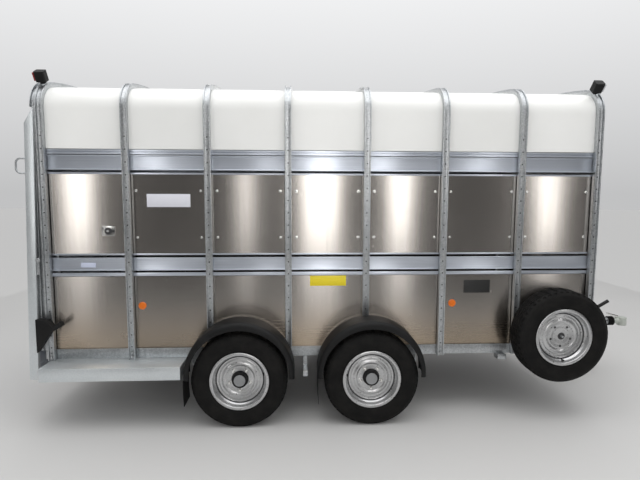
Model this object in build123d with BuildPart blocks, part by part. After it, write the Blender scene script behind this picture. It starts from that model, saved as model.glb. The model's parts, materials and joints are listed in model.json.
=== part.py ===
from build123d import *
import os
from math import asin, atan, cos, degrees, radians, sin, sqrt, tan

# Livestock trailer: twin-axle box trailer with eight galvanised hoops, aluminium side panels and a plastic roof.
# +X points forwards to the coupling, +Y to the left, +Z up. The origin is on the ground, midway between the
# rearmost grab loop and the nose of the coupling, on the centre line.

# ---- Driving dimensions, mm ----
BAY = 610.0
BAYS = 7
BODY_LENGTH = BAY * BAYS
REAR_HOOP_X = -2540.0
FRONT_HOOP_X = REAR_HOOP_X + BODY_LENGTH

WALL_Y = 900.0
PANEL_FACE_Y = 892.0
PANEL_THICKNESS = 5.0
HOOP_WIDTH = 50.0
HOOP_DEPTH = 40.0
HOOP_WALL = 6.0
HOOP_HOLLOW = 30.0
OVERALL_HALF_WIDTH = 1140.0

RAIL_BOTTOM = 484.0
FLOOR_TOP = 560.0
RAIL_WIDTH = 60.0
DECK_THICKNESS = 12.0

LOWER_PANEL_TOP = 1134.0
LOWER_TRIM = (1138.0, 1164.0)
LOWER_BAND = (1180.0, 1282.0)
UPPER_PANEL = (1300.0, 1932.0)
UPPER_BAND = (1950.0, 2062.0)
EAVE_LIP = (2068.0, 2104.0)
SKIRT_BOTTOM = 2108.0
SHOULDER_Z = 2405.0
SHOULDER_RADIUS = 180.0
CROWN_SLOPE = 10.0
ROOF_SKIN = 4.0
SEAM = 0.5  # joint between neighbouring pressings

TYRE_RADIUS = 364.0
TYRE_WIDTH = 184.0
RIM_RADIUS = 224.0
WHEEL_CENTRE_Y = 1035.0
REAR_WHEEL_X = REAR_HOOP_X + 1460.0
FRONT_WHEEL_X = REAR_HOOP_X + 2468.0
SPARE_X = REAR_HOOP_X + 3961.0
SPARE_Z = 674.0
STUD_CIRCLE_RADIUS = 82.55

RAMP_BOTTOM_X = REAR_HOOP_X - 107.0
RAMP_BOTTOM_Z = 332.0
RAMP_LENGTH = 2068.0
RAMP_HALF_WIDTH = 935.0
RAMP_DEPTH = 66.0
RAMP_LEAN = 1.9
RAMP_HINGE_HEIGHT = 123.0
RAMP_HINGE_RADIUS = 12.0
RAMP_PIN_RADIUS = 8.0
RUNNING_CLEARANCE = 0.05

SHELF_FRONT_X = REAR_HOOP_X + 1022.0
SHELF_HALF_WIDTH = 1120.0
SHELF_LIP_BOTTOM = 386.0

HOUSING = (REAR_HOOP_X + 4660.0, REAR_HOOP_X + 5010.0)
COUPLING_Z = 490.0
DRAW_TUBE_RADIUS = 25.0
BALL_X = REAR_HOOP_X + 5226.0
BALL_RADIUS = 25.25
HEAD_RADIUS = 45.0
JOCKEY_X = REAR_HOOP_X + 4900.0
JOCKEY_Y = 100.0
JOCKEY_WHEEL_RADIUS = 100.0

os.makedirs("parts", exist_ok=True)


def save(piece, label):
    """Names a finished sub-part and writes its STEP file."""
    piece.part.label = label
    export_step(piece.part, f"parts/{label}.step")


def hoop_x(number):
    return REAR_HOOP_X + number * BAY


def block(x, y, z, mode=Mode.ADD):
    """A box in the open builder, between the given low and high values on each axis."""
    size = (x[1] - x[0], y[1] - y[0], z[1] - z[0])
    centre = ((x[0] + x[1]) / 2, (y[0] + y[1]) / 2, (z[0] + z[1]) / 2)
    with Locations(centre):
        Box(*size, mode=mode)


def paired_block(x, y, z):
    """The same box on the left and on the right of the centre line."""
    block(x, y, z)
    block(x, (-y[1], -y[0]), z)


# ---- Roof outline, shared by the roof, the hoops, the rear arch and the front panel ----
SHOULDER_Y = WALL_Y - SHOULDER_RADIUS
CROWN_END_Y = SHOULDER_Y + SHOULDER_RADIUS * sin(radians(CROWN_SLOPE))
CROWN_RADIUS = CROWN_END_Y / sin(radians(CROWN_SLOPE))
CROWN_CENTRE_Z = SHOULDER_Z + SHOULDER_RADIUS * cos(radians(CROWN_SLOPE)) - CROWN_RADIUS * cos(radians(CROWN_SLOPE))


def roof_point(offset, angle):
    """A point of the roof line, moved outwards by offset, where the surface normal is angle degrees from +Y."""
    if angle <= 90 - CROWN_SLOPE:
        reach = SHOULDER_RADIUS + offset
        return (SHOULDER_Y + reach * cos(radians(angle)), SHOULDER_Z + reach * sin(radians(angle)))
    reach = CROWN_RADIUS + offset
    return (reach * cos(radians(angle)), CROWN_CENTRE_Z + reach * sin(radians(angle)))


def shoulder_segment(inner, outer, x, side, mode=Mode.ADD):
    """The rounded shoulder between two offsets of the roof line; side is 1 for left and -1 for right."""
    end = 90 - CROWN_SLOPE
    with BuildSketch(Plane.YZ.offset(x[0])) as section:
        with BuildLine():
            points = [[(side * y, z) for y, z in (roof_point(off, a) for a in (0, end / 2, end))]
                      for off in (inner, outer)]
            inside = ThreePointArc(*points[0])
            outside = ThreePointArc(*points[1])
            Line(inside @ 0, outside @ 0)
            Line(inside @ 1, outside @ 1)
        make_face()
    extrude(section.sketch, amount=x[1] - x[0], mode=mode)


def crown_segment(inner, outer, x, side, mode=Mode.ADD):
    """Half of the shallow crown between two offsets of the roof line."""
    start = 90 - CROWN_SLOPE
    with BuildSketch(Plane.YZ.offset(x[0])) as section:
        with BuildLine():
            angles = (start + 1e-9, (start + 90) / 2, 90)
            points = [[(side * y, z) for y, z in (roof_point(off, a) for a in angles)]
                      for off in (inner, outer)]
            inside = ThreePointArc(*points[0])
            outside = ThreePointArc(*points[1])
            Line(inside @ 0, outside @ 0)
            Line(inside @ 1, outside @ 1)
        make_face()
    extrude(section.sketch, amount=x[1] - x[0], mode=mode)



# ---- Chassis ----
with BuildPart() as side_rails:
    rail_x = (REAR_HOOP_X - 25, FRONT_HOOP_X + 25)
    paired_block(rail_x, (WALL_Y - RAIL_WIDTH, WALL_Y), (RAIL_BOTTOM, FLOOR_TOP))
    with BuildSketch(Plane.YZ.offset(rail_x[0])):
        for side in (-1, 1):
            with Locations((side * (WALL_Y - RAIL_WIDTH + 27), (RAIL_BOTTOM + FLOOR_TOP) / 2)):
                Rectangle(54.1, FLOOR_TOP - RAIL_BOTTOM - 10)
    extrude(amount=rail_x[1] - rail_x[0], mode=Mode.SUBTRACT)
save(side_rails, "side_rails")

with BuildPart() as cross_members:
    for number in range(1, BAYS):
        block((hoop_x(number) - 25, hoop_x(number) + 25), (-840, 840), (RAIL_BOTTOM, FLOOR_TOP - DECK_THICKNESS))
        with Locations((hoop_x(number) + 4, 0, (RAIL_BOTTOM + FLOOR_TOP - DECK_THICKNESS) / 2)):
            Box(42.1, 1680, FLOOR_TOP - DECK_THICKNESS - RAIL_BOTTOM - 8, mode=Mode.SUBTRACT)
    block((REAR_HOOP_X - 60, REAR_HOOP_X - 25), (-WALL_Y, WALL_Y), (RAIL_BOTTOM, FLOOR_TOP))
    block((FRONT_HOOP_X + 25, FRONT_HOOP_X + 65), (-WALL_Y, WALL_Y), (RAIL_BOTTOM - 60, FLOOR_TOP))
    # both end beams are channels, open below
    block((REAR_HOOP_X - 56, REAR_HOOP_X - 29), (4 - WALL_Y, WALL_Y - 4), (RAIL_BOTTOM, FLOOR_TOP - 4), Mode.SUBTRACT)
    block((FRONT_HOOP_X + 29, FRONT_HOOP_X + 61), (4 - WALL_Y, WALL_Y - 4), (RAIL_BOTTOM - 60, FLOOR_TOP - 4),
          Mode.SUBTRACT)
save(cross_members, "cross_members")

with BuildPart() as floor_deck:
    block((REAR_HOOP_X - 25, FRONT_HOOP_X + 25), (-839.5, 839.5), (FLOOR_TOP - DECK_THICKNESS, FLOOR_TOP))
    with BuildSketch(Plane.XZ.offset(-820)):
        with BuildLine():
            Polyline((REAR_HOOP_X - 25, FLOOR_TOP + 0.5), (REAR_HOOP_X - 60, FLOOR_TOP + 0.5),
                     (REAR_HOOP_X - 72, FLOOR_TOP - 6), (REAR_HOOP_X - 76, FLOOR_TOP - 4),
                     (REAR_HOOP_X - 62, FLOOR_TOP + 4.5), (REAR_HOOP_X - 25, FLOOR_TOP + 4.5), close=True)
        make_face()
    extrude(amount=1640)
save(floor_deck, "floor_deck")

with BuildPart() as drawbar:
    beam_front = FRONT_HOOP_X + 65
    with BuildSketch(Plane.XY.offset(COUPLING_Z - 60)):
        Polygon((beam_front, 600), (beam_front, 520), (HOUSING[0] + 60, 55), (HOUSING[0] + 190, 55), align=None)
        mirror(about=Plane.XZ)
    extrude(amount=75)
save(drawbar, "drawbar")

# ---- Hoops ----
with BuildPart() as hoop_uprights:
    for number in range(BAYS + 1):
        x = (hoop_x(number) - HOOP_WIDTH / 2, hoop_x(number) + HOOP_WIDTH / 2)
        groove = (x[0] + HOOP_WALL * 2, x[1] - HOOP_WALL * 2)
        paired_block(x, (WALL_Y, WALL_Y + HOOP_DEPTH), (RAIL_BOTTOM, SHOULDER_Z))
        for side in (-1, 1):
            with Locations((hoop_x(number), side * (WALL_Y + HOOP_DEPTH), (RAIL_BOTTOM + SHOULDER_Z) / 2)):
                Box(groove[1] - groove[0], 2 * HOOP_WALL, SHOULDER_Z - RAIL_BOTTOM, mode=Mode.SUBTRACT)
            with Locations((hoop_x(number), side * (WALL_Y + HOOP_HOLLOW / 2), (RAIL_BOTTOM + SHOULDER_Z) / 2)):
                Box(HOOP_WIDTH - HOOP_WALL, HOOP_HOLLOW, SHOULDER_Z - RAIL_BOTTOM, mode=Mode.SUBTRACT)
save(hoop_uprights, "hoop_uprights")

with BuildPart() as roof_bows:
    for number in range(BAYS + 1):
        x = (hoop_x(number) - HOOP_WIDTH / 2, hoop_x(number) + HOOP_WIDTH / 2)
        for side in (-1, 1):
            shoulder_segment(SEAM, HOOP_DEPTH, x, side)
            crown_segment(SEAM, HOOP_DEPTH, x, side)
        for inner, outer, edge in ((0, HOOP_HOLLOW, HOOP_WALL / 2), (HOOP_DEPTH - HOOP_WALL, 2 * HOOP_DEPTH, 2 * HOOP_WALL)):
            for side in (-1, 1):
                shoulder_segment(inner, outer, (x[0] + edge, x[1] - edge), side, Mode.SUBTRACT)
                crown_segment(inner, outer, (x[0] + edge, x[1] - edge), side, Mode.SUBTRACT)
save(roof_bows, "roof_bows")

# ---- Sides ----
with BuildPart() as lower_panels:
    paired_block((REAR_HOOP_X - 25, FRONT_HOOP_X + 25), (PANEL_FACE_Y - PANEL_THICKNESS, PANEL_FACE_Y),
                 (FLOOR_TOP, LOWER_PANEL_TOP))
save(lower_panels, "lower_panels")

with BuildPart() as upper_panels:
    for number in range(BAYS):
        paired_block((hoop_x(number) + SEAM, hoop_x(number + 1) - SEAM),
                     (PANEL_FACE_Y - PANEL_THICKNESS, PANEL_FACE_Y), UPPER_PANEL)
save(upper_panels, "upper_panels")

with BuildPart() as side_bands:
    for low, high, inner in ((*LOWER_TRIM, 888), (*LOWER_BAND, 884), (*UPPER_BAND, 884), (*EAVE_LIP, 888)):
        paired_block((REAR_HOOP_X - 25, FRONT_HOOP_X + 25), (inner, WALL_Y), (low, high))
        # each extrusion is a shallow channel, open at the back
        for back in ((inner, WALL_Y - 4), (4 - WALL_Y, -inner)):
            block((REAR_HOOP_X - 25, FRONT_HOOP_X + 25), back, (low + 3, high - 3), Mode.SUBTRACT)
save(side_bands, "side_bands")

with BuildPart() as panel_bolts:
    for number in range(1, BAYS):
        for x in (hoop_x(number) + 62, hoop_x(number + 1) - 62):
            for z in (1437, 1796):
                for side in (-1, 1):
                    with Locations(Location((x, side * (PANEL_FACE_Y + 3), z), (90, 0, 0))):
                        Cylinder(9, 6)
save(panel_bolts, "panel_bolts")

with BuildPart() as side_reflectors:
    for x in (REAR_HOOP_X + 691, REAR_HOOP_X + 3145):
        for side in (-1, 1):
            with Locations(Location((x, side * (PANEL_FACE_Y + 4), 902), (90, 0, 0))):
                Cylinder(30, 8)
save(side_reflectors, "side_reflectors")

# ---- Turn latch of the first upper panel, right-hand side ----
LATCH_X = REAR_HOOP_X + 455
LATCH_Z = 1488
with BuildPart() as latch_plate:
    block((LATCH_X - 52, LATCH_X + 52), (-PANEL_FACE_Y - 4, -PANEL_FACE_Y), (LATCH_Z - 38, LATCH_Z + 38))
    with Locations(Location((LATCH_X, -PANEL_FACE_Y - 10, LATCH_Z), (90, 0, 0))):
        Cylinder(10, 12)
save(latch_plate, "latch_plate")

with BuildPart() as latch_handle:
    with Locations(Location((LATCH_X, -PANEL_FACE_Y - 12, LATCH_Z), (90, 0, 0))):
        Cylinder(26, 10)
        Cylinder(10 + RUNNING_CLEARANCE, 10, mode=Mode.SUBTRACT)
    block((LATCH_X + 20, LATCH_X + 46), (-PANEL_FACE_Y - 17, -PANEL_FACE_Y - 7), (LATCH_Z - 9, LATCH_Z + 9))
save(latch_handle, "latch_handle")

# ---- Roof and front ----
with BuildPart() as roof_shell:
    x = (REAR_HOOP_X - 25, FRONT_HOOP_X + 25)
    for side in (-1, 1):
        shoulder_segment(-ROOF_SKIN, 0, x, side)
        crown_segment(-ROOF_SKIN, 0, x, side)
    paired_block(x, (WALL_Y - ROOF_SKIN, WALL_Y), (SKIRT_BOTTOM, SHOULDER_Z))
save(roof_shell, "roof_shell")

FRONT_PANEL_BOTTOM = 1493.0
FRONT_BULGE_X = REAR_HOOP_X + 4360.0


def arched_face(offset, bottom):
    """A flat face inside the roof line, from bottom up to the ridge."""
    slope_end = 90 - CROWN_SLOPE
    with BuildLine() as outline:
        left = roof_point(offset, 0)
        left_end = roof_point(offset, slope_end)
        ridge = roof_point(offset, 90)
        middle = roof_point(offset, slope_end / 2)
        ThreePointArc(left, middle, left_end)
        ThreePointArc(left_end, ridge, (-left_end[0], left_end[1]))
        ThreePointArc((-left_end[0], left_end[1]), (-middle[0], middle[1]), (-left[0], left[1]))
        Polyline((-left[0], left[1]), (-left[0], bottom), (left[0], bottom), left)
    make_face(outline.edges())


with BuildPart() as front_upper_panel:
    with BuildSketch(Plane.YZ.offset(FRONT_HOOP_X + 25)):
        arched_face(-6, FRONT_PANEL_BOTTOM)
    extrude(amount=FRONT_BULGE_X - FRONT_HOOP_X - 25)
    fillet(front_upper_panel.faces().sort_by(Axis.X)[-1].edges(), 20)
    with BuildSketch(Plane.YZ.offset(FRONT_HOOP_X + 25)):
        arched_face(-22, FRONT_PANEL_BOTTOM + 16)
    extrude(amount=FRONT_BULGE_X - FRONT_HOOP_X - 30, mode=Mode.SUBTRACT)
save(front_upper_panel, "front_upper_panel")

with BuildPart() as front_lower_panel:
    block((FRONT_HOOP_X + 25, FRONT_HOOP_X + 31), (-WALL_Y, WALL_Y), (FLOOR_TOP, FRONT_PANEL_BOTTOM))
    for z in (760, 1010, 1260):
        block((FRONT_HOOP_X + 31, FRONT_HOOP_X + 43), (-WALL_Y + 30, WALL_Y - 30), (z, z + 60))
save(front_lower_panel, "front_lower_panel")

# ---- Rear frame ----
def ramp_front_x(z):
    """X of the ramp's front face at height z."""
    return RAMP_BOTTOM_X + (z - RAMP_BOTTOM_Z) * tan(radians(RAMP_LEAN))


with BuildPart() as rear_frame:
    for side in (-1, 1):
        start = 878 if side < 0 else -938
        with BuildSketch(Plane.XZ.offset(start)):
            Polygon((REAR_HOOP_X - 25.5, FLOOR_TOP + 0.5), (ramp_front_x(FLOOR_TOP) + 4, FLOOR_TOP + 0.5),
                    (ramp_front_x(SHOULDER_Z) + 4, SHOULDER_Z), (REAR_HOOP_X - 25.5, SHOULDER_Z), align=None)
        extrude(amount=60)
        # each side post is a channel, open towards the inside
        with BuildSketch(Plane.XZ.offset(877 if side < 0 else -934)):
            Polygon((REAR_HOOP_X - 29.5, FLOOR_TOP + 4.5), (ramp_front_x(FLOOR_TOP) + 8, FLOOR_TOP + 4.5),
                    (ramp_front_x(2000) + 8, 2000), (REAR_HOOP_X - 29.5, 2000), align=None)
        extrude(amount=57, mode=Mode.SUBTRACT)
        arch_x = (REAR_HOOP_X - 60, REAR_HOOP_X - 25.5)
        shoulder_segment(-22, 38, arch_x, side)
        crown_segment(-22, 38, arch_x, side)
save(rear_frame, "rear_frame")

# ---- Ramp, modelled on its own leaning plane ----
ramp_up = Vector(sin(radians(RAMP_LEAN)), 0, cos(radians(RAMP_LEAN)))
ramp_back = Vector(-cos(radians(RAMP_LEAN)), 0, sin(radians(RAMP_LEAN)))
ramp_plane = Plane(origin=(RAMP_BOTTOM_X, 0, RAMP_BOTTOM_Z), x_dir=(0, -1, 0), z_dir=ramp_back)
CHANNEL_WIDTH = 30.0
TOE_LENGTH = 112.0

with BuildPart() as ramp_channels:
    for origin_y in (-RAMP_HALF_WIDTH, RAMP_HALF_WIDTH - CHANNEL_WIDTH):
        web_plane = Plane(origin=(RAMP_BOTTOM_X, origin_y, RAMP_BOTTOM_Z), x_dir=ramp_back, z_dir=(0, 1, 0))
        with BuildSketch(web_plane):
            Polygon((0, 0), (RAMP_DEPTH, 0), (RAMP_DEPTH, (RAMP_LENGTH - TOE_LENGTH)),
                    (6, RAMP_LENGTH), (0, RAMP_LENGTH), align=None)
        extrude(amount=CHANNEL_WIDTH)
        pocket_y = origin_y + 3 if origin_y < 0 else origin_y - 0.1
        pocket_plane = Plane(origin=(RAMP_BOTTOM_X, pocket_y, RAMP_BOTTOM_Z), x_dir=ramp_back, z_dir=(0, 1, 0))
        with BuildSketch(pocket_plane):
            Polygon((4, 4), (RAMP_DEPTH - 4, 4),
                    (RAMP_DEPTH - 4, (RAMP_LENGTH - TOE_LENGTH - 4)),
                    (8, (RAMP_LENGTH - 16)), (4, (RAMP_LENGTH - 16)), align=None)
        extrude(amount=CHANNEL_WIDTH - 2.9, mode=Mode.SUBTRACT)
save(ramp_channels, "ramp_channels")

RIB_HEIGHTS = (30, 520, 1010, 1500, 1900)
panel_half_width = RAMP_HALF_WIDTH - CHANNEL_WIDTH - SEAM
with BuildPart() as ramp_panel:
    with BuildSketch(ramp_plane):
        with Locations((0, RAMP_LENGTH / 2)):
            Rectangle(2 * panel_half_width, RAMP_LENGTH)
    extrude(amount=8)
save(ramp_panel, "ramp_panel")

with BuildPart() as ramp_bars:
    with BuildSketch(ramp_plane.offset(8)):
        for height in RIB_HEIGHTS:
            with Locations((0, height)):
                Rectangle(2 * panel_half_width, 50)
    extrude(amount=52)
    with BuildSketch(ramp_plane.offset(7)):
        for height in RIB_HEIGHTS:
            with Locations((0, height)):
                Rectangle(2 * panel_half_width + 1, 42)
    extrude(amount=49, mode=Mode.SUBTRACT)
    # foot cleats on the inner face
    with BuildSketch(ramp_plane):
        with Locations(*[(0, 330 + 230 * n) for n in range(8)]):
            Rectangle(1500, 20)
    extrude(amount=-16)
save(ramp_bars, "ramp_bars")

LOOP_ROD = 7.0
LOOP_REACH = 72.0
LOOP_HEIGHT = 110.0

hinge_point = ramp_plane.offset(-RAMP_HINGE_RADIUS - 0.5).from_local_coords(Vector(0, RAMP_HINGE_HEIGHT, 0))
KNUCKLE_YS = (-620, 0, 620)
with BuildPart() as ramp_fittings:
    # grab loops on the backs of the side channels
    for y in (CHANNEL_WIDTH / 2 - RAMP_HALF_WIDTH, RAMP_HALF_WIDTH - CHANNEL_WIDTH / 2):
        foot = ramp_plane.offset(RAMP_DEPTH).from_local_coords(Vector(-y, 1588, 0))
        loop_plane = Plane(origin=foot, x_dir=ramp_back, z_dir=(0, 1, 0))
        with BuildLine(loop_plane):
            path = FilletPolyline((0, 0), (LOOP_REACH, 0), (LOOP_REACH, LOOP_HEIGHT), (0, LOOP_HEIGHT), radius=36)
        with BuildSketch(Plane(origin=path @ 0, z_dir=path % 0)):
            Circle(LOOP_ROD)
        sweep(path=path)
    # hinge knuckles
    for y in KNUCKLE_YS:
        with BuildSketch(Plane(origin=(hinge_point.X, y - 60, hinge_point.Z), x_dir=ramp_back, z_dir=(0, 1, 0))):
            Circle(RAMP_HINGE_RADIUS)
            with Locations((RAMP_HINGE_RADIUS / 2 + 0.25, 0)):
                Rectangle(RAMP_HINGE_RADIUS + 0.5, 2 * RAMP_HINGE_RADIUS)
            Circle(RAMP_PIN_RADIUS + RUNNING_CLEARANCE, mode=Mode.SUBTRACT)
        extrude(amount=120)
save(ramp_fittings, "ramp_fittings")


# ---- Ramp catches, one each side, turning on a pin in the rear frame ----
CATCH_Z = 1270.0
for side_name, side in (("right", -1), ("left", 1)):
    with BuildPart() as ramp_catch:
        outer = 938.5 if side < 0 else -952.5
        with BuildSketch(Plane.XZ.offset(outer)):
            with Locations((REAR_HOOP_X - 55, CATCH_Z)):
                Circle(18)
                Rectangle(22, 110, align=(Align.CENTER, Align.MAX))
        extrude(amount=14)
    save(ramp_catch, f"ramp_catch_{side_name}")

# ---- Inner gates, hung from the rear frame ----
GATE_X = REAR_HOOP_X + 44.0
GATE_TUBE = 16.0
GATE_Z = (600.0, 1820.0)
for side_name, side in (("right", -1), ("left", 1)):
    with BuildPart() as gate:
        for y in (850, 38):
            with Locations((GATE_X, side * y, sum(GATE_Z) / 2)):
                Cylinder(GATE_TUBE, GATE_Z[1] - GATE_Z[0])
        for number in range(6):
            z = GATE_Z[0] + 40 + number * (GATE_Z[1] - GATE_Z[0] - 80) / 5
            with Locations(Location((GATE_X, side * 444, z), (90, 0, 0))):
                Cylinder(GATE_TUBE - 3, 2 * (850 - 444) - 2 * GATE_TUBE - 2)
    save(gate, f"gate_{side_name}")

# ---- Side shelves, rear lamps and marker lamps ----
with BuildPart() as side_shelves:
    paired_block((REAR_HOOP_X - 8, SHELF_FRONT_X), (WALL_Y, SHELF_HALF_WIDTH - 4), (RAIL_BOTTOM - 4, RAIL_BOTTOM))
    paired_block((REAR_HOOP_X - 8, SHELF_FRONT_X), (SHELF_HALF_WIDTH - 4, SHELF_HALF_WIDTH),
                 (SHELF_LIP_BOTTOM, RAIL_BOTTOM))
save(side_shelves, "side_shelves")

LAMP_STEM = 16.0
LAMP_LENGTH = 78.0
MARKER_LAMPS = ((REAR_HOOP_X - 5, 60.0), (FRONT_HOOP_X - 22, 50.0))


def marker_plane(x, angle, side):
    """Plane on the outer face of a hoop's shoulder, at an angle above the horizontal, facing outwards."""
    reach = SHOULDER_RADIUS + HOOP_DEPTH
    outwards = (0, side * cos(radians(angle)), sin(radians(angle)))
    return Plane(origin=(x, side * SHOULDER_Y + reach * outwards[1], SHOULDER_Z + reach * outwards[2]),
                 x_dir=(1, 0, 0), z_dir=outwards)


with BuildPart() as lamp_bodies:
    # rear lamp boxes inside the shelf ends
    paired_block((REAR_HOOP_X - 6, REAR_HOOP_X + 54), (950, 1114), (SHELF_LIP_BOTTOM + 4, RAIL_BOTTOM - 5))
    # rubber corner brackets with a forward stub
    for side in (-1, 1):
        start = 942 if side < 0 else -1002
        with BuildSketch(Plane.XZ.offset(start)):
            Polygon((REAR_HOOP_X - 72, 566), (REAR_HOOP_X - 72, 826), (REAR_HOOP_X + 8, 818),
                    (REAR_HOOP_X + 52, 764), (REAR_HOOP_X + 100, 806), (REAR_HOOP_X + 120, 772),
                    (REAR_HOOP_X + 30, 720), align=None)
        extrude(amount=60)
    # end-outline lamps, each on a stem that stands square to its hoop's shoulder
    for x, angle in MARKER_LAMPS:
        for side in (-1, 1):
            with BuildSketch(marker_plane(x, angle, side)):
                RectangleRounded(34, 30, 6)
            extrude(amount=LAMP_STEM)
            with BuildSketch(marker_plane(x, angle, side).offset(LAMP_STEM)):
                RectangleRounded(74, 66, 12)
            extrude(amount=LAMP_LENGTH)
save(lamp_bodies, "lamp_bodies")

with BuildPart() as red_lenses:
    paired_block((REAR_HOOP_X - 16, REAR_HOOP_X - 6), (956, 1108), (SHELF_LIP_BOTTOM + 10, RAIL_BOTTOM - 12))
    x, angle = MARKER_LAMPS[0]
    for side in (-1, 1):
        with BuildSketch(marker_plane(x - 37, angle, side).offset(LAMP_STEM + 8)):
            with Locations((-6, 0)):
                Rectangle(12, 50)
        extrude(amount=LAMP_LENGTH - 16)
save(red_lenses, "red_lenses")

with BuildPart() as white_lenses:
    x, angle = MARKER_LAMPS[1]
    for side in (-1, 1):
        with BuildSketch(marker_plane(x + 37, angle, side).offset(LAMP_STEM + 8)):
            with Locations((6, 0)):
                Rectangle(12, 50)
        extrude(amount=LAMP_LENGTH - 16)
save(white_lenses, "white_lenses")

# ---- Mudguards ----
GUARD_RADIUS = 417.0
GUARD_RISE = 40.0
GUARD_SKIN = 5.0


def guard_profile(wheel_x, inner_radius, inner_rise):
    """An arch over a wheel, cut off just below the guard's own centre line."""
    centre_z = TYRE_RADIUS + GUARD_RISE
    with Locations((wheel_x, centre_z)):
        Circle(GUARD_RADIUS)
    with Locations((wheel_x, TYRE_RADIUS + inner_rise)):
        Circle(inner_radius, mode=Mode.SUBTRACT)
    with Locations((wheel_x, centre_z - 22)):
        Rectangle(3 * GUARD_RADIUS, GUARD_RADIUS, align=(Align.CENTER, Align.MAX), mode=Mode.SUBTRACT)


with BuildPart() as mudguards:
    for wheel_x in (REAR_WHEEL_X, FRONT_WHEEL_X):
        with BuildSketch(Plane.XZ.offset(WALL_Y + HOOP_DEPTH + SEAM)):
            guard_profile(wheel_x, GUARD_RADIUS - GUARD_SKIN, GUARD_RISE)
        extrude(amount=OVERALL_HALF_WIDTH - WALL_Y - HOOP_DEPTH - SEAM)
        with BuildSketch(Plane.XZ.offset(OVERALL_HALF_WIDTH - GUARD_SKIN)):
            guard_profile(wheel_x, 376, 20)
        extrude(amount=GUARD_SKIN)
    mirror(about=Plane.XZ)
save(mudguards, "mudguards")

with BuildPart() as mud_flaps:
    for wheel_x in (REAR_WHEEL_X, FRONT_WHEEL_X):
        x = wheel_x - GUARD_RADIUS
        paired_block((x - 1, x + 4), (WALL_Y + HOOP_DEPTH + 12, OVERALL_HALF_WIDTH - 3),
                     (185, TYRE_RADIUS + GUARD_RISE - 22.5))
save(mud_flaps, "mud_flaps")

# ---- Running gear ----
SPRING_HALF_LENGTH = 350.0
with BuildPart() as axle_beams:
    for wheel_x in (REAR_WHEEL_X, FRONT_WHEEL_X):
        with Locations(Location((wheel_x, 0, TYRE_RADIUS), (90, 0, 0))):
            Cylinder(30, 2 * 972)
            Cylinder(24, 2 * 972, mode=Mode.SUBTRACT)
save(axle_beams, "axle_beams")

with BuildPart() as leaf_springs:
    for wheel_x in (REAR_WHEEL_X, FRONT_WHEEL_X):
        with BuildSketch(Plane.XZ.offset(842)):
            for leaf in range(4):
                half = SPRING_HALF_LENGTH - 80 * leaf
                base = TYRE_RADIUS + 31 + 8 * (3 - leaf)
                sag = 50 * (half / SPRING_HALF_LENGTH) ** 2
                with BuildLine():
                    low = ThreePointArc((wheel_x - half, base + sag), (wheel_x, base), (wheel_x + half, base + sag))
                    high = ThreePointArc((wheel_x - half, base + sag + 8), (wheel_x, base + 8),
                                         (wheel_x + half, base + sag + 8))
                    Line(low @ 0, high @ 0)
                    Line(low @ 1, high @ 1)
                make_face()
        extrude(amount=54)
    mirror(about=Plane.XZ)
save(leaf_springs, "leaf_springs")

with BuildPart() as chassis_brackets:
    # ramp hinge pins with their ears
    for y in KNUCKLE_YS:
        with BuildSketch(Plane(origin=(hinge_point.X, y - 80, hinge_point.Z), x_dir=(1, 0, 0), z_dir=(0, 1, 0))):
            Circle(RAMP_PIN_RADIUS)
        extrude(amount=160)
        for start in (y - 80, y + 62):
            reach = REAR_HOOP_X - 60 - hinge_point.X
            with BuildSketch(Plane(origin=(hinge_point.X, start + 18, hinge_point.Z), x_dir=(1, 0, 0), z_dir=(0, -1, 0))):
                Circle(RAMP_HINGE_RADIUS - 1)
                Polygon((-4, 9), (6, -9), (reach, 34), (reach, 90), align=None)
            extrude(amount=18)
    # spring hangers, mudguard stays and spare wheel gusset
    for wheel_x in (REAR_WHEEL_X, FRONT_WHEEL_X):
        for end in (-1, 1):
            eye = wheel_x + end * (SPRING_HALF_LENGTH + 24)
            paired_block((eye - 22, eye + 22), (842, 896), (RAIL_BOTTOM - 60, RAIL_BOTTOM))
    between = (REAR_WHEEL_X + FRONT_WHEEL_X) / 2
    paired_block((between - 22, between + 14), (WALL_Y + 2, 1060), (RAIL_BOTTOM - 108, RAIL_BOTTOM - 70))
    paired_block((between - 22, between + 14), (WALL_Y + 2, WALL_Y + 8), (RAIL_BOTTOM - 70, RAIL_BOTTOM))
    paired_block((SPARE_X - 440, SPARE_X - 370), (WALL_Y - 40, WALL_Y + 40), (RAIL_BOTTOM - 40, RAIL_BOTTOM - 0.5))
save(chassis_brackets, "chassis_brackets")


def tyre_solid(centre, side):
    """The tyre's section turned about the wheel axis; centre is the middle of the section's width."""
    section = Plane(origin=centre, x_dir=(0, side, 0), z_dir=(side, 0, 0))
    half = TYRE_WIDTH / 2
    with BuildSketch(section) as profile:
        with BuildLine():
            right_wall = ThreePointArc((half - 13, RIM_RADIUS + 2), (half, 288), (half - 17, 346))
            left_wall = ThreePointArc((-half + 13, RIM_RADIUS + 2), (-half, 288), (-half + 17, 346))
            tread = Line((-half + 32, TYRE_RADIUS), (half - 32, TYRE_RADIUS))
            Line(left_wall @ 1, tread @ 0)
            Line(right_wall @ 1, tread @ 1)
            Polyline(left_wall @ 0, (-half + 15, 206), (half - 15, 206), right_wall @ 0)
        make_face()
        with BuildLine():
            right_lining = ThreePointArc((half - 28, RIM_RADIUS), (half - 12, 288), (half - 30, 346))
            left_lining = ThreePointArc((-half + 28, RIM_RADIUS), (-half + 12, 288), (-half + 30, 346))
            Polyline(left_lining @ 0, (-half + 28, 200), (half - 28, 200), right_lining @ 0)
            Line(left_lining @ 1, right_lining @ 1)
        make_face(mode=Mode.SUBTRACT)
    revolve(profile.sketch, axis=Axis(centre, (0, 1, 0)))


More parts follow.
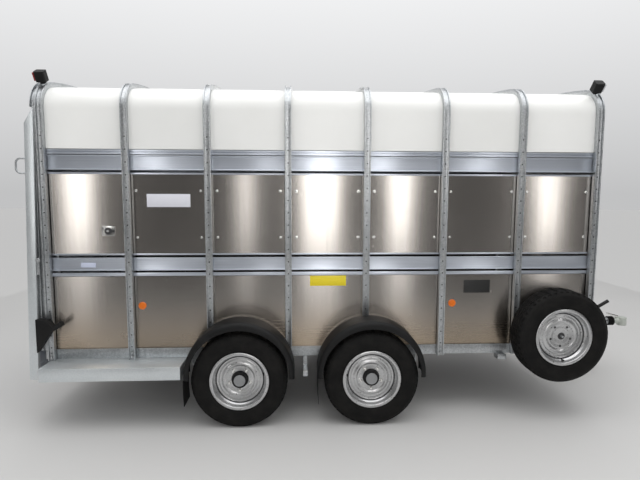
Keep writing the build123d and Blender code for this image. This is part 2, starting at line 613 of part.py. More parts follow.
def rim_solid(centre, side):
    """Well-base rim with a dished disc; s runs outboard from the middle of the tyre."""
    section = Plane(origin=centre, x_dir=(0, side, 0), z_dir=(side, 0, 0))
    with BuildSketch(section) as profile:
        with BuildLine():
            Polyline((85, RIM_RADIUS), (80, RIM_RADIUS), (78, 205.5), (48, 203), (34, 186), (-20, 186), (-36, 203),
                     (-78, 205.5), (-80, RIM_RADIUS), (-85, RIM_RADIUS), (-83, 200), (-38, 198), (-22, 180),
                     (-4, 180), (22, 160), (30, 120), (24, 104), (24, 66), (30, 66), (30, 100), (37, 120),
                     (30, 164), (34, 180), (50, 198), (83, 200), close=True)
        make_face()
    revolve(profile.sketch, axis=Axis(centre, (0, 1, 0)))


def hub_pieces(centre, side):
    """Brake drum, flange and nose in one turning, and five nuts on the disc."""
    section = Plane(origin=centre, x_dir=(0, side, 0), z_dir=(side, 0, 0))
    with BuildSketch(section) as profile:
        Polygon((-60, 0), (-60, 128), (4, 128), (10, 104), (23.5, 104), (23.5, 60), (30, 50), (66, 49), (72, 40),
                (72, 0), align=None)
    revolve(profile.sketch, axis=Axis(centre, (0, 1, 0)))
    face = Plane(origin=(centre[0], centre[1] + side * 30.3, centre[2]), x_dir=(side, 0, 0), z_dir=(0, side, 0))
    with BuildSketch(face) as nuts:
        with PolarLocations(STUD_CIRCLE_RADIUS, 5, start_angle=270):
            RegularPolygon(11, 6)
    extrude(nuts.sketch, amount=16)


for axle_name, wheel_x in (("rear", REAR_WHEEL_X), ("front", FRONT_WHEEL_X)):
    for side_name, side in (("right", -1), ("left", 1)):
        centre = (wheel_x, side * WHEEL_CENTRE_Y, TYRE_RADIUS)
        with BuildPart() as tyre:
            tyre_solid(centre, side)
        save(tyre, f"tyre_{axle_name}_{side_name}")
        with BuildPart() as rim:
            rim_solid(centre, side)
        save(rim, f"rim_{axle_name}_{side_name}")
        with BuildPart() as hub:
            hub_pieces(centre, side)
        save(hub, f"hub_{axle_name}_{side_name}")

# ---- Spare wheel on the right-hand side ----
spare_centre = (SPARE_X, -WHEEL_CENTRE_Y, SPARE_Z)
with BuildPart() as spare_tyre:
    tyre_solid(spare_centre, -1)
save(spare_tyre, "spare_tyre")
with BuildPart() as spare_rim:
    rim_solid(spare_centre, -1)
    with BuildSketch(Plane(origin=(SPARE_X, -WHEEL_CENTRE_Y, SPARE_Z), x_dir=(1, 0, 0), z_dir=(0, -1, 0))):
        with PolarLocations(STUD_CIRCLE_RADIUS, 5, start_angle=270):
            Circle(10)
    extrude(amount=60, mode=Mode.SUBTRACT)
save(spare_rim, "spare_rim")
with BuildPart() as spare_carrier:
    block((SPARE_X - 90, SPARE_X + 90), (-WALL_Y - 8, -PANEL_FACE_Y - 0.2), (SPARE_Z - 90, SPARE_Z + 90))
    with Locations(Location((SPARE_X, -(WALL_Y + 8 + 60), SPARE_Z), (90, 0, 0))):
        Cylinder(56, 124)
    with Locations(Location((SPARE_X, -(WALL_Y + 168), SPARE_Z), (90, 0, 0))):
        Cylinder(8, 100)
    # round clamp plate over the disc
    plate_plane = Plane(origin=(SPARE_X, -WHEEL_CENTRE_Y - 30.3, SPARE_Z), x_dir=(1, 0, 0), z_dir=(0, -1, 0))
    with BuildSketch(plate_plane):
        Circle(70)
    extrude(amount=7)
save(spare_carrier, "spare_carrier")

# ---- Overrun coupling ----
NOSE_LENGTH = 62.0
nose_end = HOUSING[1] + NOSE_LENGTH
with BuildPart() as overrun_housing:
    block(HOUSING, (-54.5, 54.5), (COUPLING_Z - 55, COUPLING_Z + 45))
    with Locations(Location((HOUSING[1] + NOSE_LENGTH / 2, 0, COUPLING_Z), (0, 90, 0))):
        Cylinder(36, NOSE_LENGTH)
    with Locations(Location(((HOUSING[0] + nose_end) / 2 + 60, 0, COUPLING_Z), (0, 90, 0))):
        Cylinder(DRAW_TUBE_RADIUS + RUNNING_CLEARANCE, nose_end - HOUSING[0] - 100, mode=Mode.SUBTRACT)
save(overrun_housing, "overrun_housing")

tube_rear = HOUSING[0] + 190
head_rear = BALL_X - 96
with BuildPart() as draw_tube:
    with Locations(Location(((tube_rear + head_rear) / 2, 0, COUPLING_Z), (0, 90, 0))):
        Cylinder(DRAW_TUBE_RADIUS, head_rear - tube_rear)
save(draw_tube, "draw_tube")

with BuildPart() as gaiter:
    gaiter_start = nose_end - 6
    gaiter_end = head_rear - 0.5
    section = Plane(origin=(gaiter_start, 0, COUPLING_Z), x_dir=(1, 0, 0), z_dir=(0, -1, 0))
    with BuildSketch(section):
        length = gaiter_end - gaiter_start
        with BuildLine():
            ridges = [(length * n / 10, 46 if n % 2 else 39.5) for n in range(11)]
            Polyline((0, 36.5), *ridges, (length, 36.5), close=True)
        make_face()
    revolve(axis=Axis((gaiter_start, 0, COUPLING_Z), (1, 0, 0)))
save(gaiter, "gaiter")

HANDLE_PIVOT_X = BALL_X - 60
HANDLE_PIVOT_Z = COUPLING_Z + 50
HANDLE_PIN_RADIUS = 4.0
LUG_RADIUS = 9.0
handle_axis = Location((HANDLE_PIVOT_X, 0, HANDLE_PIVOT_Z), (90, 0, 0))
with BuildPart() as coupling_head:
    with Locations(Location(((head_rear + BALL_X) / 2, 0, COUPLING_Z), (0, 90, 0))):
        Cylinder(29, BALL_X - head_rear)
    with Locations((BALL_X, 0, COUPLING_Z - 4)):
        Cylinder(HEAD_RADIUS, 80)
    fillet(coupling_head.faces().sort_by(Axis.Z)[-1].edges(), 5)
    # lug that carries the handle's pin
    block((HANDLE_PIVOT_X - LUG_RADIUS, HANDLE_PIVOT_X + LUG_RADIUS), (-LUG_RADIUS, LUG_RADIUS),
          (COUPLING_Z + 20, HANDLE_PIVOT_Z))
    with Locations(handle_axis):
        Cylinder(LUG_RADIUS, 2 * LUG_RADIUS)
        Cylinder(HANDLE_PIN_RADIUS + 0.3, 2 * LUG_RADIUS, mode=Mode.SUBTRACT)
    with BuildSketch(Plane.XY.offset(COUPLING_Z - 44)):
        with Locations((BALL_X, 0)):
            Circle(BALL_RADIUS)
    extrude(amount=40, mode=Mode.SUBTRACT)
save(coupling_head, "coupling_head")

with BuildPart() as coupling_handle:
    with BuildSketch(Plane.XZ.offset(-17)):
        with Locations((HANDLE_PIVOT_X, HANDLE_PIVOT_Z)):
            Circle(LUG_RADIUS)
            Polygon((0, -9), (-20, -6), (-92, 16), (-104, 36), (-20, 12), (0, 9), align=None)
    extrude(amount=34)
    # fork round the lug, closed by the pin
    block((HANDLE_PIVOT_X - 16, HANDLE_PIVOT_X + 10), (-LUG_RADIUS - 0.5, LUG_RADIUS + 0.5),
          (HANDLE_PIVOT_Z - 12, HANDLE_PIVOT_Z + 14), mode=Mode.SUBTRACT)
    with Locations(handle_axis):
        Cylinder(HANDLE_PIN_RADIUS, 38)
save(coupling_handle, "coupling_handle")

# ---- Handbrake lever ----
LEVER_PIVOT_X = HOUSING[0] + 30
LEVER_ANGLE = 30.0
LEVER_PIVOT_Z = COUPLING_Z + 25
with BuildPart() as handbrake_lever:
    lever_plane = Plane(origin=(LEVER_PIVOT_X, -55, LEVER_PIVOT_Z),
                        x_dir=(cos(radians(LEVER_ANGLE)), 0, sin(radians(LEVER_ANGLE))), z_dir=(0, -1, 0))
    with BuildSketch(lever_plane):
        Circle(22)
        with Locations((145, 0)):
            Rectangle(250, 24)
    extrude(amount=10)
    with Locations(lever_plane.offset(5).location):
        with Locations(Location((325, 0, 0), (0, 90, 0))):
            Cylinder(16, 130)
save(handbrake_lever, "handbrake_lever")

# ---- Jockey wheel ----
LEG_RADIUS = 20.0
TUBE_RADIUS = 26.0
TUBE_Z = (350.0, 610.0)
LEG_Z = (236.0, 470.0)
with BuildPart() as jockey_tube:
    with BuildSketch(Plane.XY.offset(TUBE_Z[0])):
        with Locations((JOCKEY_X, JOCKEY_Y)):
            Circle(TUBE_RADIUS)
            Circle(LEG_RADIUS + RUNNING_CLEARANCE, mode=Mode.SUBTRACT)
    extrude(amount=TUBE_Z[1] - TUBE_Z[0])
    for z in (COUPLING_Z - 40, COUPLING_Z + 15):
        block((JOCKEY_X - 30, JOCKEY_X + 30), (54.7, JOCKEY_Y - 22), (z, z + 24))
save(jockey_tube, "jockey_tube")

with BuildPart() as jockey_leg:
    with Locations((JOCKEY_X, JOCKEY_Y, sum(LEG_Z) / 2)):
        Cylinder(LEG_RADIUS, LEG_Z[1] - LEG_Z[0])
save(jockey_leg, "jockey_leg")

AXLE_X = JOCKEY_X - 40
with BuildPart() as jockey_fork:
    block((JOCKEY_X - 62, JOCKEY_X + 26), (JOCKEY_Y - 40, JOCKEY_Y + 40), (222, LEG_Z[0]))
    for y in (JOCKEY_Y - 40, JOCKEY_Y + 34):
        block((AXLE_X - 22, AXLE_X + 22), (y, y + 6), (80, 222))
    with Locations(Location((AXLE_X, JOCKEY_Y, JOCKEY_WHEEL_RADIUS), (90, 0, 0))):
        Cylinder(8, 80)
save(jockey_fork, "jockey_fork")

with BuildPart() as jockey_wheel:
    with Locations(Location((AXLE_X, JOCKEY_Y, JOCKEY_WHEEL_RADIUS), (90, 0, 0))):
        Cylinder(JOCKEY_WHEEL_RADIUS, 56)
        Cylinder(8 + RUNNING_CLEARANCE, 56, mode=Mode.SUBTRACT)
    fillet(jockey_wheel.edges().filter_by(GeomType.CIRCLE).group_by(SortBy.RADIUS)[-1], 8)
save(jockey_wheel, "jockey_wheel")

with BuildPart() as jockey_crank:
    with Locations((JOCKEY_X, JOCKEY_Y, TUBE_Z[1] + 15.5)):
        Cylinder(14, 30)
    block((JOCKEY_X - 110, JOCKEY_X), (JOCKEY_Y - 8, JOCKEY_Y + 8), (TUBE_Z[1] + 20, TUBE_Z[1] + 30))
    with Locations((JOCKEY_X - 100, JOCKEY_Y, TUBE_Z[1] + 55)):
        Cylinder(11, 52)
save(jockey_crank, "jockey_crank")

# The open ramp rests on its grab loops.
loop_depth = RAMP_HINGE_RADIUS + RAMP_DEPTH + LOOP_REACH + LOOP_ROD
loop_distance = 1588 + LOOP_HEIGHT - RAMP_HINGE_HEIGHT
ground_angle = degrees(asin(hinge_point.Z / sqrt(loop_distance ** 2 + loop_depth ** 2)) - atan(loop_depth / loop_distance))
print("ramp hinge at", hinge_point, "opens to", round(90 + RAMP_LEAN + ground_angle, 1), "degrees")
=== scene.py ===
"""Livestock trailer: the finished pieces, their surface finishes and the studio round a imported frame."""

import json
from math import atan2, cos, pi, radians, sin, tan

import bmesh
import bpy
from mathutils import Matrix, Vector

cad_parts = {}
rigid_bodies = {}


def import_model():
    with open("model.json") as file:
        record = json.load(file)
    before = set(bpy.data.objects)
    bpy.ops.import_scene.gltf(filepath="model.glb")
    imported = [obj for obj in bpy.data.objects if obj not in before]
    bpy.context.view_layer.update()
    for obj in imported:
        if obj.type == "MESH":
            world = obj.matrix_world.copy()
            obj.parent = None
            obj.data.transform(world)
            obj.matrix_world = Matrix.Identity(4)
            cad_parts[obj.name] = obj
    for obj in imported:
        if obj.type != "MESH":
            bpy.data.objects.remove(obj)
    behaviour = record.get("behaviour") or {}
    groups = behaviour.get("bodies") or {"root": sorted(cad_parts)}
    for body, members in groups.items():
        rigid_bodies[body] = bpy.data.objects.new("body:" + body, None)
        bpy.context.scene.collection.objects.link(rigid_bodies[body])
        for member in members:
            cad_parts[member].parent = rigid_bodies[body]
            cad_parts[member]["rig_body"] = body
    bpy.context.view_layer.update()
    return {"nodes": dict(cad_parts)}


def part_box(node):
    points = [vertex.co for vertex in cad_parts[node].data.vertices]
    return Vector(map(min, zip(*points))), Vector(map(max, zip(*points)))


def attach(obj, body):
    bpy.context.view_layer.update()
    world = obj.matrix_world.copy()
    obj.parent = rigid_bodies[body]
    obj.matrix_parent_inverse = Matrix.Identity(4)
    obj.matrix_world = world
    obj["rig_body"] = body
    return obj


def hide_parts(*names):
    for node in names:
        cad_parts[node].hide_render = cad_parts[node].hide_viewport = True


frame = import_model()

bl_info = {
    "name": "Livestock Trailer",
    "version": (1, 0, 0),
    "blender": (4, 5, 0),
    "location": "3D View > Sidebar > Trailer",
    "description": "Finished pieces of a twin-axle livestock trailer round its packed frame",
    "category": "Add Mesh",
}

# ---- Places read from the frame, metres ----
BAYS = 7
HOOP_WIDTH = 0.050
HOOP_DEPTH = 0.040
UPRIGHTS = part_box("hoop_uprights")
WALL_Y = UPRIGHTS[1].y - HOOP_DEPTH
FIRST_HOOP_X = UPRIGHTS[0].x + HOOP_WIDTH / 2
BAY = (UPRIGHTS[1].x - HOOP_WIDTH / 2 - FIRST_HOOP_X) / BAYS
SILL_Z = UPRIGHTS[0].z
SHOULDER_Z = UPRIGHTS[1].z
PANEL_FACE_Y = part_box("upper_panels")[1].y

# The roof line: an upright wall, a shoulder arc and a shallow crown arc, tangent to each other.
SHOULDER_RADIUS = 0.180
CROWN_SLOPE = radians(10)
SHOULDER_Y = WALL_Y - SHOULDER_RADIUS
CROWN_RADIUS = (SHOULDER_Y + SHOULDER_RADIUS * sin(CROWN_SLOPE)) / sin(CROWN_SLOPE)
CROWN_CENTRE_Z = SHOULDER_Z + (SHOULDER_RADIUS - CROWN_RADIUS) * cos(CROWN_SLOPE)

# The closed ramp leans forwards a little from its foot.
RAMP_LEAN = radians(1.9)
RAMP_FOOT_X = -2.647
RAMP_FOOT_Z = 0.332

TYRE_RADIUS = (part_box("tyre_rear_right")[1].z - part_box("tyre_rear_right")[0].z) / 2
SIDES = (("right", -1), ("left", 1))


def middle(node):
    """Centre of a node's box."""
    low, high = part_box(node)
    return (low + high) / 2


# ---- Shader graphs ----
class Value:
    """A socket's value. Arithmetic on it adds Math nodes to its finish."""

    def __init__(self, graph, socket):
        self.graph = graph
        self.socket = socket

    def maths(self, operation, *terms):
        return self.graph.node("ShaderNodeMath", {"operation": operation}, dict(enumerate(terms)))

    def __add__(self, other):
        return self.maths("ADD", self, other)

    __radd__ = __add__

    def __sub__(self, other):
        return self.maths("SUBTRACT", self, other)

    def __rsub__(self, other):
        return self.maths("SUBTRACT", other, self)

    def __mul__(self, other):
        return self.maths("MULTIPLY", self, other)

    __rmul__ = __mul__

    def above(self, limit, softness):
        """0 below limit and 1 above it, over a soft step."""
        return self.graph.node(
            "ShaderNodeMapRange",
            {"interpolation_type": "SMOOTHSTEP"},
            {"Value": self, "From Min": limit - softness, "From Max": limit + softness},
        )


class Finish:
    """One material, drawn with a few kinds of node."""

    def __init__(self, name):
        self.material = bpy.data.materials.new(name)
        self.material.use_nodes = True
        self.tree = self.material.node_tree
        self.tree.nodes.clear()
        self.place = self.node("ShaderNodeTexCoord", output="Object")

    def node(self, kind, settings=None, inputs=None, output=0):
        made = self.tree.nodes.new(kind)
        for name, value in (settings or {}).items():
            setattr(made, name, value)
        for name, value in (inputs or {}).items():
            if isinstance(value, Value):
                self.tree.links.new(value.socket, made.inputs[name])
            else:
                made.inputs[name].default_value = value
        return None if output is None else Value(self, made.outputs[output])

    def stretched(self, x, y, z):
        """Object coordinates scaled along each axis."""
        return self.node("ShaderNodeMapping", None, {"Vector": self.place, "Scale": (x, y, z)})

    def axis(self, name):
        return self.node("ShaderNodeSeparateXYZ", None, {"Vector": self.place}, name)

    def noise(self, scale, detail=3.0, place=None, roughness=0.5):
        inputs = {"Vector": place or self.place, "Scale": scale, "Detail": detail, "Roughness": roughness}
        return self.node("ShaderNodeTexNoise", None, inputs)

    def crystals(self, scale):
        """A random tone for each cell of a cracked pattern."""
        cell = self.node("ShaderNodeTexVoronoi", None, {"Vector": self.place, "Scale": scale}, "Color")
        return self.node("ShaderNodeSeparateColor", None, {"Color": cell}, "Red")

    def mix(self, factor, first, second):
        return self.node("ShaderNodeMix", {"data_type": "RGBA"}, {0: factor, 6: first, 7: second}, 2)

    def surface(self, base, roughness, metallic=0.0, height=None, relief=0.0005, **constants):
        """Ends the graph in one Principled shader and gives the material."""
        inputs = {"Base Color": base, "Roughness": roughness, "Metallic": metallic}
        inputs.update({name.replace("_", " "): value for name, value in constants.items()})
        if height is not None:
            bump = {"Height": height, "Strength": 1.0, "Distance": relief}
            inputs["Normal"] = self.node("ShaderNodeBump", None, bump)
        shader = self.node("ShaderNodeBsdfPrincipled", None, inputs)
        self.node("ShaderNodeOutputMaterial", None, {"Surface": shader}, None)
        return self.material


def rgb(red, green, blue):
    return (red, green, blue, 1.0)


def galvanised_finish():
    """Hot-dip zinc: spangle, cloudy dulling and a little white bloom."""
    graph = Finish("galvanised_zinc")
    spangle = graph.crystals(110.0)
    fine = graph.crystals(300.0)
    clouds = graph.noise(5.0, 5.0)
    runs = graph.noise(1.0, 3.0, graph.stretched(60.0, 60.0, 1.4))
    bloom = graph.noise(14.0, 4.0).above(0.64, 0.1)
    tone = spangle * 0.28 + fine * 0.14 + clouds * 0.26 + runs * 0.32
    base = graph.mix(tone, rgb(0.18, 0.195, 0.205), rgb(0.72, 0.74, 0.755))
    base = graph.mix(bloom * 0.2, base, rgb(0.60, 0.61, 0.60))
    roughness = 0.22 + spangle * 0.12 + clouds * 0.16 + bloom * 0.1
    return graph.surface(base, roughness, 0.93, spangle * 0.3 + clouds, 0.0002)


def zinc_sheet_finish():
    """Pre-galvanised sheet: smoother and paler than dipped steel, with only a faint spangle."""
    graph = Finish("galvanised_sheet")
    spangle = graph.crystals(150.0)
    clouds = graph.noise(2.2, 4.0)
    tone = spangle * 0.2 + clouds * 0.8
    base = graph.mix(tone, rgb(0.52, 0.56, 0.58), rgb(0.80, 0.83, 0.84))
    return graph.surface(base, 0.24 + spangle * 0.08 + clouds * 0.12, 0.6, spangle * 0.2 + clouds, 0.0002)


def sheet_finish():
    """Mill-finish aluminium sheet: rolling grain, handling marks and a brown tint low down, painted in as the
    floor's warm reflection.
    """
    graph = Finish("aluminium_sheet")
    grain = graph.noise(1.0, 4.0, graph.stretched(7.0, 7.0, 700.0))
    drawn = graph.noise(1.0, 3.0, graph.stretched(38.0, 38.0, 0.9))
    clouds = graph.noise(1.6, 4.0)
    waves = graph.noise(1.1, 1.0)
    marks = graph.noise(7.0, 6.0, None, 0.7).above(0.7, 0.06)
    # Painted reflection: a warm brown tint towards the bottom of the sheet stands in for the floor's warm
    # reflection.
    tint_mask = (1.0 - graph.axis("Z").above(0.78, 0.26)) * (0.55 + clouds * 0.7)
    base = graph.mix(clouds * 0.5 + drawn * 0.5, rgb(0.43, 0.40, 0.37), rgb(0.60, 0.57, 0.54))
    base = graph.mix(tint_mask * 0.95, base, rgb(0.40, 0.32, 0.235))
    base = graph.mix(marks * 0.25, base, rgb(0.36, 0.33, 0.29))
    roughness = 0.17 + grain * 0.07 + clouds * 0.05 + marks * 0.08 + tint_mask * 0.05
    return graph.surface(base, roughness, 1.0, grain * 0.01 + waves * 0.8, 0.0015,
                         Anisotropic=0.8, Anisotropic_Rotation=0.25)


def extrusion_finish():
    """Anodised aluminium extrusion: brighter and bluer than the sheet, with lengthwise die lines."""
    graph = Finish("aluminium_extrusion")
    lines = graph.noise(1.0, 3.0, graph.stretched(2.0, 260.0, 260.0))
    clouds = graph.noise(3.0, 4.0)
    base = graph.mix(lines * 0.6 + clouds * 0.4, rgb(0.47, 0.51, 0.58), rgb(0.74, 0.78, 0.85))
    return graph.surface(base, 0.28 + lines * 0.1, 0.7, lines, 0.0002, Anisotropic=0.8,
                         Anisotropic_Rotation=0.25)


def roof_finish():
    """White glass-reinforced plastic with a gel-coat gloss."""
    graph = Finish("roof_gel_coat")
    clouds = graph.noise(2.5, 4.0)
    peel = graph.noise(140.0, 2.0)
    base = graph.mix(clouds, rgb(0.83, 0.83, 0.8), rgb(0.9, 0.9, 0.88))
    settings = {"Coat_Weight": 0.25, "Coat_Roughness": 0.18}
    return graph.surface(base, 0.34 + clouds * 0.12, 0.0, peel, 0.00015, **settings)


def moulded_finish(name, dark, light, roughness, grain_scale, relief):
    """Black plastic or rubber with a moulded grain and patches of dust."""
    graph = Finish(name)
    grain = graph.noise(grain_scale, 3.0)
    dust = graph.noise(7.0, 6.0, None, 0.65)
    base = graph.mix(dust.above(0.56, 0.16) * 0.7, dark, light)
    return graph.surface(base, roughness + grain * 0.12 + dust * 0.08, 0.0, grain, relief,
                         Specular_IOR_Level=0.24)


def tyre_finish():
    """Tyre rubber: matt black, browned by road dust on the tread."""
    graph = Finish("tyre_rubber")
    grain = graph.noise(320.0, 3.0)
    dust = graph.noise(9.0, 6.0, None, 0.7)
    base = graph.mix(dust.above(0.55, 0.2), rgb(0.003, 0.003, 0.003), rgb(0.0105, 0.0095, 0.0085))
    return graph.surface(base, 0.58 + grain * 0.2, 0.0, grain, 0.0003, Specular_IOR_Level=0.17)


def painted_finish(name, dark, light, metallic, roughness, relief=0.0002, speckle=60.0):
    """Sprayed or plated metal with an uneven film and a few scuffs."""
    graph = Finish(name)
    tint_mask = graph.noise(speckle, 5.0, None, 0.6)
    clouds = graph.noise(8.0, 4.0)
    scuffs = graph.noise(28.0, 6.0, None, 0.75).above(0.66, 0.05)
    base = graph.mix(tint_mask * 0.5 + clouds * 0.5, dark, light)
    base = graph.mix(scuffs * 0.35, base, dark)
    return graph.surface(base, roughness + tint_mask * 0.14 + scuffs * 0.15, metallic, tint_mask, relief)


def lens_finish(name, dark, light):
    """Moulded lens with a fine prism pattern under a gloss face."""
    graph = Finish(name)
    prisms = graph.node("ShaderNodeTexVoronoi", {"distance": "CHEBYCHEV"},
                        {"Vector": graph.place, "Scale": 240.0})
    base = graph.mix(prisms * 1.6, light, dark)
    return graph.surface(base, 0.12 + prisms * 0.1, 0.0, prisms, 0.0004, Coat_Weight=0.6, Coat_Roughness=0.05)


def label_finish(name, face, border):
    """A printed vinyl label, plain but for faint ageing."""
    graph = Finish(name)
    ageing = graph.noise(30.0, 5.0)
    return graph.surface(graph.mix(ageing * 0.3, face, border), 0.4 + ageing * 0.15)


# What makes the finish of each slot, and with what.
MAKERS = {
    "galvanised": (galvanised_finish,),
    "zinc_sheet": (zinc_sheet_finish,),
    "aluminium": (sheet_finish,),
    "extrusion": (extrusion_finish,),
    "roof_plastic": (roof_finish,),
    "tyre_rubber": (tyre_finish,),
    "deck_board": (
        moulded_finish, "deck_board", rgb(0.035, 0.028, 0.024), rgb(0.075, 0.062, 0.052),
        0.55, 90.0, 0.0004),
    "black_rubber": (
        moulded_finish, "black_rubber", rgb(0.006, 0.006, 0.0062), rgb(0.014, 0.014, 0.014),
        0.48, 260.0, 0.0003),
    "mudguard_plastic": (
        moulded_finish, "mudguard_plastic", rgb(0.005, 0.0051, 0.0055), rgb(0.012, 0.012, 0.0125),
        0.42, 420.0, 0.0002),
    "silver_paint": (
        painted_finish, "silver_wheel_paint", rgb(0.36, 0.36, 0.365), rgb(0.70, 0.705, 0.71), 0.88, 0.22),
    "bright_zinc": (painted_finish, "bright_zinc", rgb(0.62, 0.62, 0.6), rgb(0.86, 0.86, 0.84), 1.0, 0.16),
    # Black paint for dark parts. It also colours pieces that are painted shade: hole insides and the rim
    # seam.
    "dark_steel": (
        painted_finish, "black_paint_and_painted_shade", rgb(0.02, 0.02, 0.022), rgb(0.05, 0.05, 0.052), 0.1, 0.42),
    "hub_grey": (painted_finish, "hub_cap_grey", rgb(0.2, 0.205, 0.21), rgb(0.34, 0.345, 0.35), 0.3, 0.42),
    "cast_head": (
        painted_finish, "cast_head_paint", rgb(0.4, 0.43, 0.39), rgb(0.62, 0.65, 0.6), 0.3, 0.4, 0.0006),
    "red_lens": (lens_finish, "red_lens", rgb(0.16, 0.004, 0.006), rgb(0.5, 0.02, 0.02)),
    "orange_lens": (lens_finish, "orange_lens", rgb(0.75, 0.13, 0.005), rgb(1.0, 0.28, 0.02)),
    "clear_lens": (lens_finish, "clear_lens", rgb(0.55, 0.57, 0.6), rgb(0.88, 0.89, 0.9)),
}
FINISHES = {}


def finish_for(slot):
    """The material of a slot, made on first use."""
    if slot not in FINISHES:
        maker, *details = MAKERS[slot]
        FINISHES[slot] = maker(*details)
    return FINISHES[slot]


# ---- Mesh helpers ----
MERGE_GAP = 0.00002
SOURCE_MERGE_GAP = 0.00001
FLAT_ANGLE = radians(0.6)
SAME_PLACE = 1e-5
CLOSE_PLACE = 1e-4


def placed(name, bm, material):
    """Ends a bmesh in an object of the scene."""
    mesh = bpy.data.meshes.new(name)
    bm.to_mesh(mesh)
    bm.free()
    if not mesh.polygons:
        raise RuntimeError(f"{name} has no faces")
    mesh.materials.append(material)
    made = bpy.data.objects.new(name, mesh)
    bpy.context.scene.collection.objects.link(made)
    return made


def publish(name, bm, slot, body="trailer", replaces=(), finish=None, sharp=34.0, wall=None):
    """Turns a bmesh into a finished piece that rides on a body of the frame."""
    bmesh.ops.remove_doubles(bm, verts=bm.verts, dist=MERGE_GAP)
    bmesh.ops.recalc_face_normals(bm, faces=bm.faces)
    if wall:
        bmesh.ops.solidify(bm, geom=bm.faces[:], thickness=wall)
        bmesh.ops.recalc_face_normals(bm, faces=bm.faces)
    made = placed(name, bm, finish or finish_for(slot))
    made.data.shade_smooth()
    made.data.set_sharp_from_angle(angle=radians(sharp))
    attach(made, body)
    if replaces:
        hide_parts(*replaces)


def rounded(bm, radius, segments=2, angle=35.0, edges=None):
    """Rounds the sharp edges."""
    chosen = [e for e in (edges or bm.edges) if e.is_valid and len(e.link_faces) == 2]
    chosen = [e for e in chosen if e.calc_face_angle(0.0) > radians(angle)]
    if chosen:
        bmesh.ops.bevel(bm, geom=chosen, offset=radius, offset_type="OFFSET", segments=segments,
                        affect="EDGES", profile=0.5, clamp_overlap=True, material=-1)


def refined(node, radius, segments=2, finish=None):
    """A node's own shape, merged, with its sharp edges rounded off."""
    source = frame["nodes"][node]
    slot = source.material_slots[0].material.name
    bm = bmesh.new()
    bm.from_mesh(source.data)
    bmesh.ops.remove_doubles(bm, verts=bm.verts, dist=SOURCE_MERGE_GAP)
    bmesh.ops.dissolve_limit(bm, angle_limit=FLAT_ANGLE, verts=bm.verts, edges=bm.edges)
    rounded(bm, radius, segments)
    publish(f"{node}_piece", bm, slot, source["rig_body"], (node,), finish)


def outline(bm, points, closed=True):
    """Edges through the points, in order."""
    corners = [bm.verts.new(point) for point in points]
    pairs = list(zip(corners, corners[1:]))
    if closed:
        pairs.append((corners[-1], corners[0]))
    return [bm.edges.new(pair) for pair in pairs]


def prism(bm, points, travel):
    """A flat outline pushed along a vector into a solid."""
    bottom = bm.faces.new([bm.verts.new(point) for point in points])
    pushed = bmesh.ops.extrude_face_region(bm, geom=[bottom], use_keep_orig=True)["geom"]
    tops = [item for item in pushed if isinstance(item, bmesh.types.BMVert)]
    bmesh.ops.translate(bm, verts=tops, vec=travel)


def block(bm, low, high):
    """A box between two corners."""
    low, high = Vector(low), Vector(high)
    place = Matrix.Translation((low + high) / 2) @ Matrix.Diagonal((*(high - low), 1.0))
    return bmesh.ops.create_cube(bm, size=1.0, matrix=place)["verts"]


def lathe(bm, profile, centre, axis, steps=64, start=(0, 0, 1), closed=False):
    """Turns a profile of (along, radius) points about an axis through centre."""
    centre, axis, start = Vector(centre), Vector(axis), Vector(start)
    edges = outline(bm, [centre + axis * along + start * radius for along, radius in profile], closed)
    corners = list({v for e in edges for v in e.verts})
    bmesh.ops.spin(bm, geom=edges + corners, cent=centre, axis=axis, angle=2 * pi, steps=steps,
                   use_merge=True, use_duplicate=False)


def turned(name, profile, centre, axis, steps, slot, body="trailer", replaces=(), closed=False, sharp=34.0):
    """A piece that is one turned profile."""
    bm = bmesh.new()
    lathe(bm, profile, centre, axis, steps, closed=closed)
    publish(name, bm, slot, body, replaces, sharp=sharp)


def rod(bm, start, end, radius, steps=20, edge=0.001):
    """A round bar with chamfered ends."""
    start, end = Vector(start), Vector(end)
    run = end - start
    length = run.length
    profile = [(0, 0), (0, radius - edge), (edge, radius),
               (length - edge, radius), (length, radius - edge), (length, 0)]
    lathe(bm, profile, start, run.normalized(), steps, run.orthogonal().normalized())


def extend(bm, edges, travel):
    """Pushes loose edges along a vector and gives the new edges."""
    made = bmesh.ops.extrude_edge_only(bm, edges=edges)["geom"]
    corners = [item for item in made if isinstance(item, bmesh.types.BMVert)]
    bmesh.ops.translate(bm, verts=corners, vec=travel)
    return [item for item in made if isinstance(item, bmesh.types.BMEdge)
            and all(v in corners for v in item.verts)]


def turn(bm, edges, centre, angle, steps):
    """Spins loose edges about a lengthwise axis, over the roof from right to left."""
    corners = list({v for e in edges for v in e.verts})
    made = bmesh.ops.spin(bm, geom=edges + corners, cent=centre, axis=(-1, 0, 0), angle=angle, steps=steps,
                          use_merge=False, use_duplicate=False)["geom_last"]
    return [item for item in made if isinstance(item, bmesh.types.BMEdge)]


def over_the_roof(bm, edges, rise, arc_steps=14, crown_steps=18):
    """Takes a profile standing at the right-hand wall up by rise, over the roof line and down again."""
    if rise:
        edges = extend(bm, edges, (0, 0, rise))
    edges = turn(bm, edges, (0, -SHOULDER_Y, SHOULDER_Z), pi / 2 - CROWN_SLOPE, arc_steps)
    edges = turn(bm, edges, (0, 0, CROWN_CENTRE_Z), 2 * CROWN_SLOPE, crown_steps)
    edges = turn(bm, edges, (0, SHOULDER_Y, SHOULDER_Z), pi / 2 - CROWN_SLOPE, arc_steps)
    if rise:
        edges = extend(bm, edges, (0, 0, -rise))
    return edges


def both_sides(bm):
    """Adds the mirror image about the centre line."""
    geometry = bm.verts[:] + bm.edges[:] + bm.faces[:]
    bmesh.ops.mirror(bm, geom=geometry, matrix=Matrix.Identity(4), axis="Y", merge_dist=-1)


# ---- Settings a user may change ----
def metres(name, description, default, low, high):
    """A setting measured in metres."""
    return bpy.props.FloatProperty(
        name=name, description=description, default=default, min=low, max=high, unit="LENGTH")


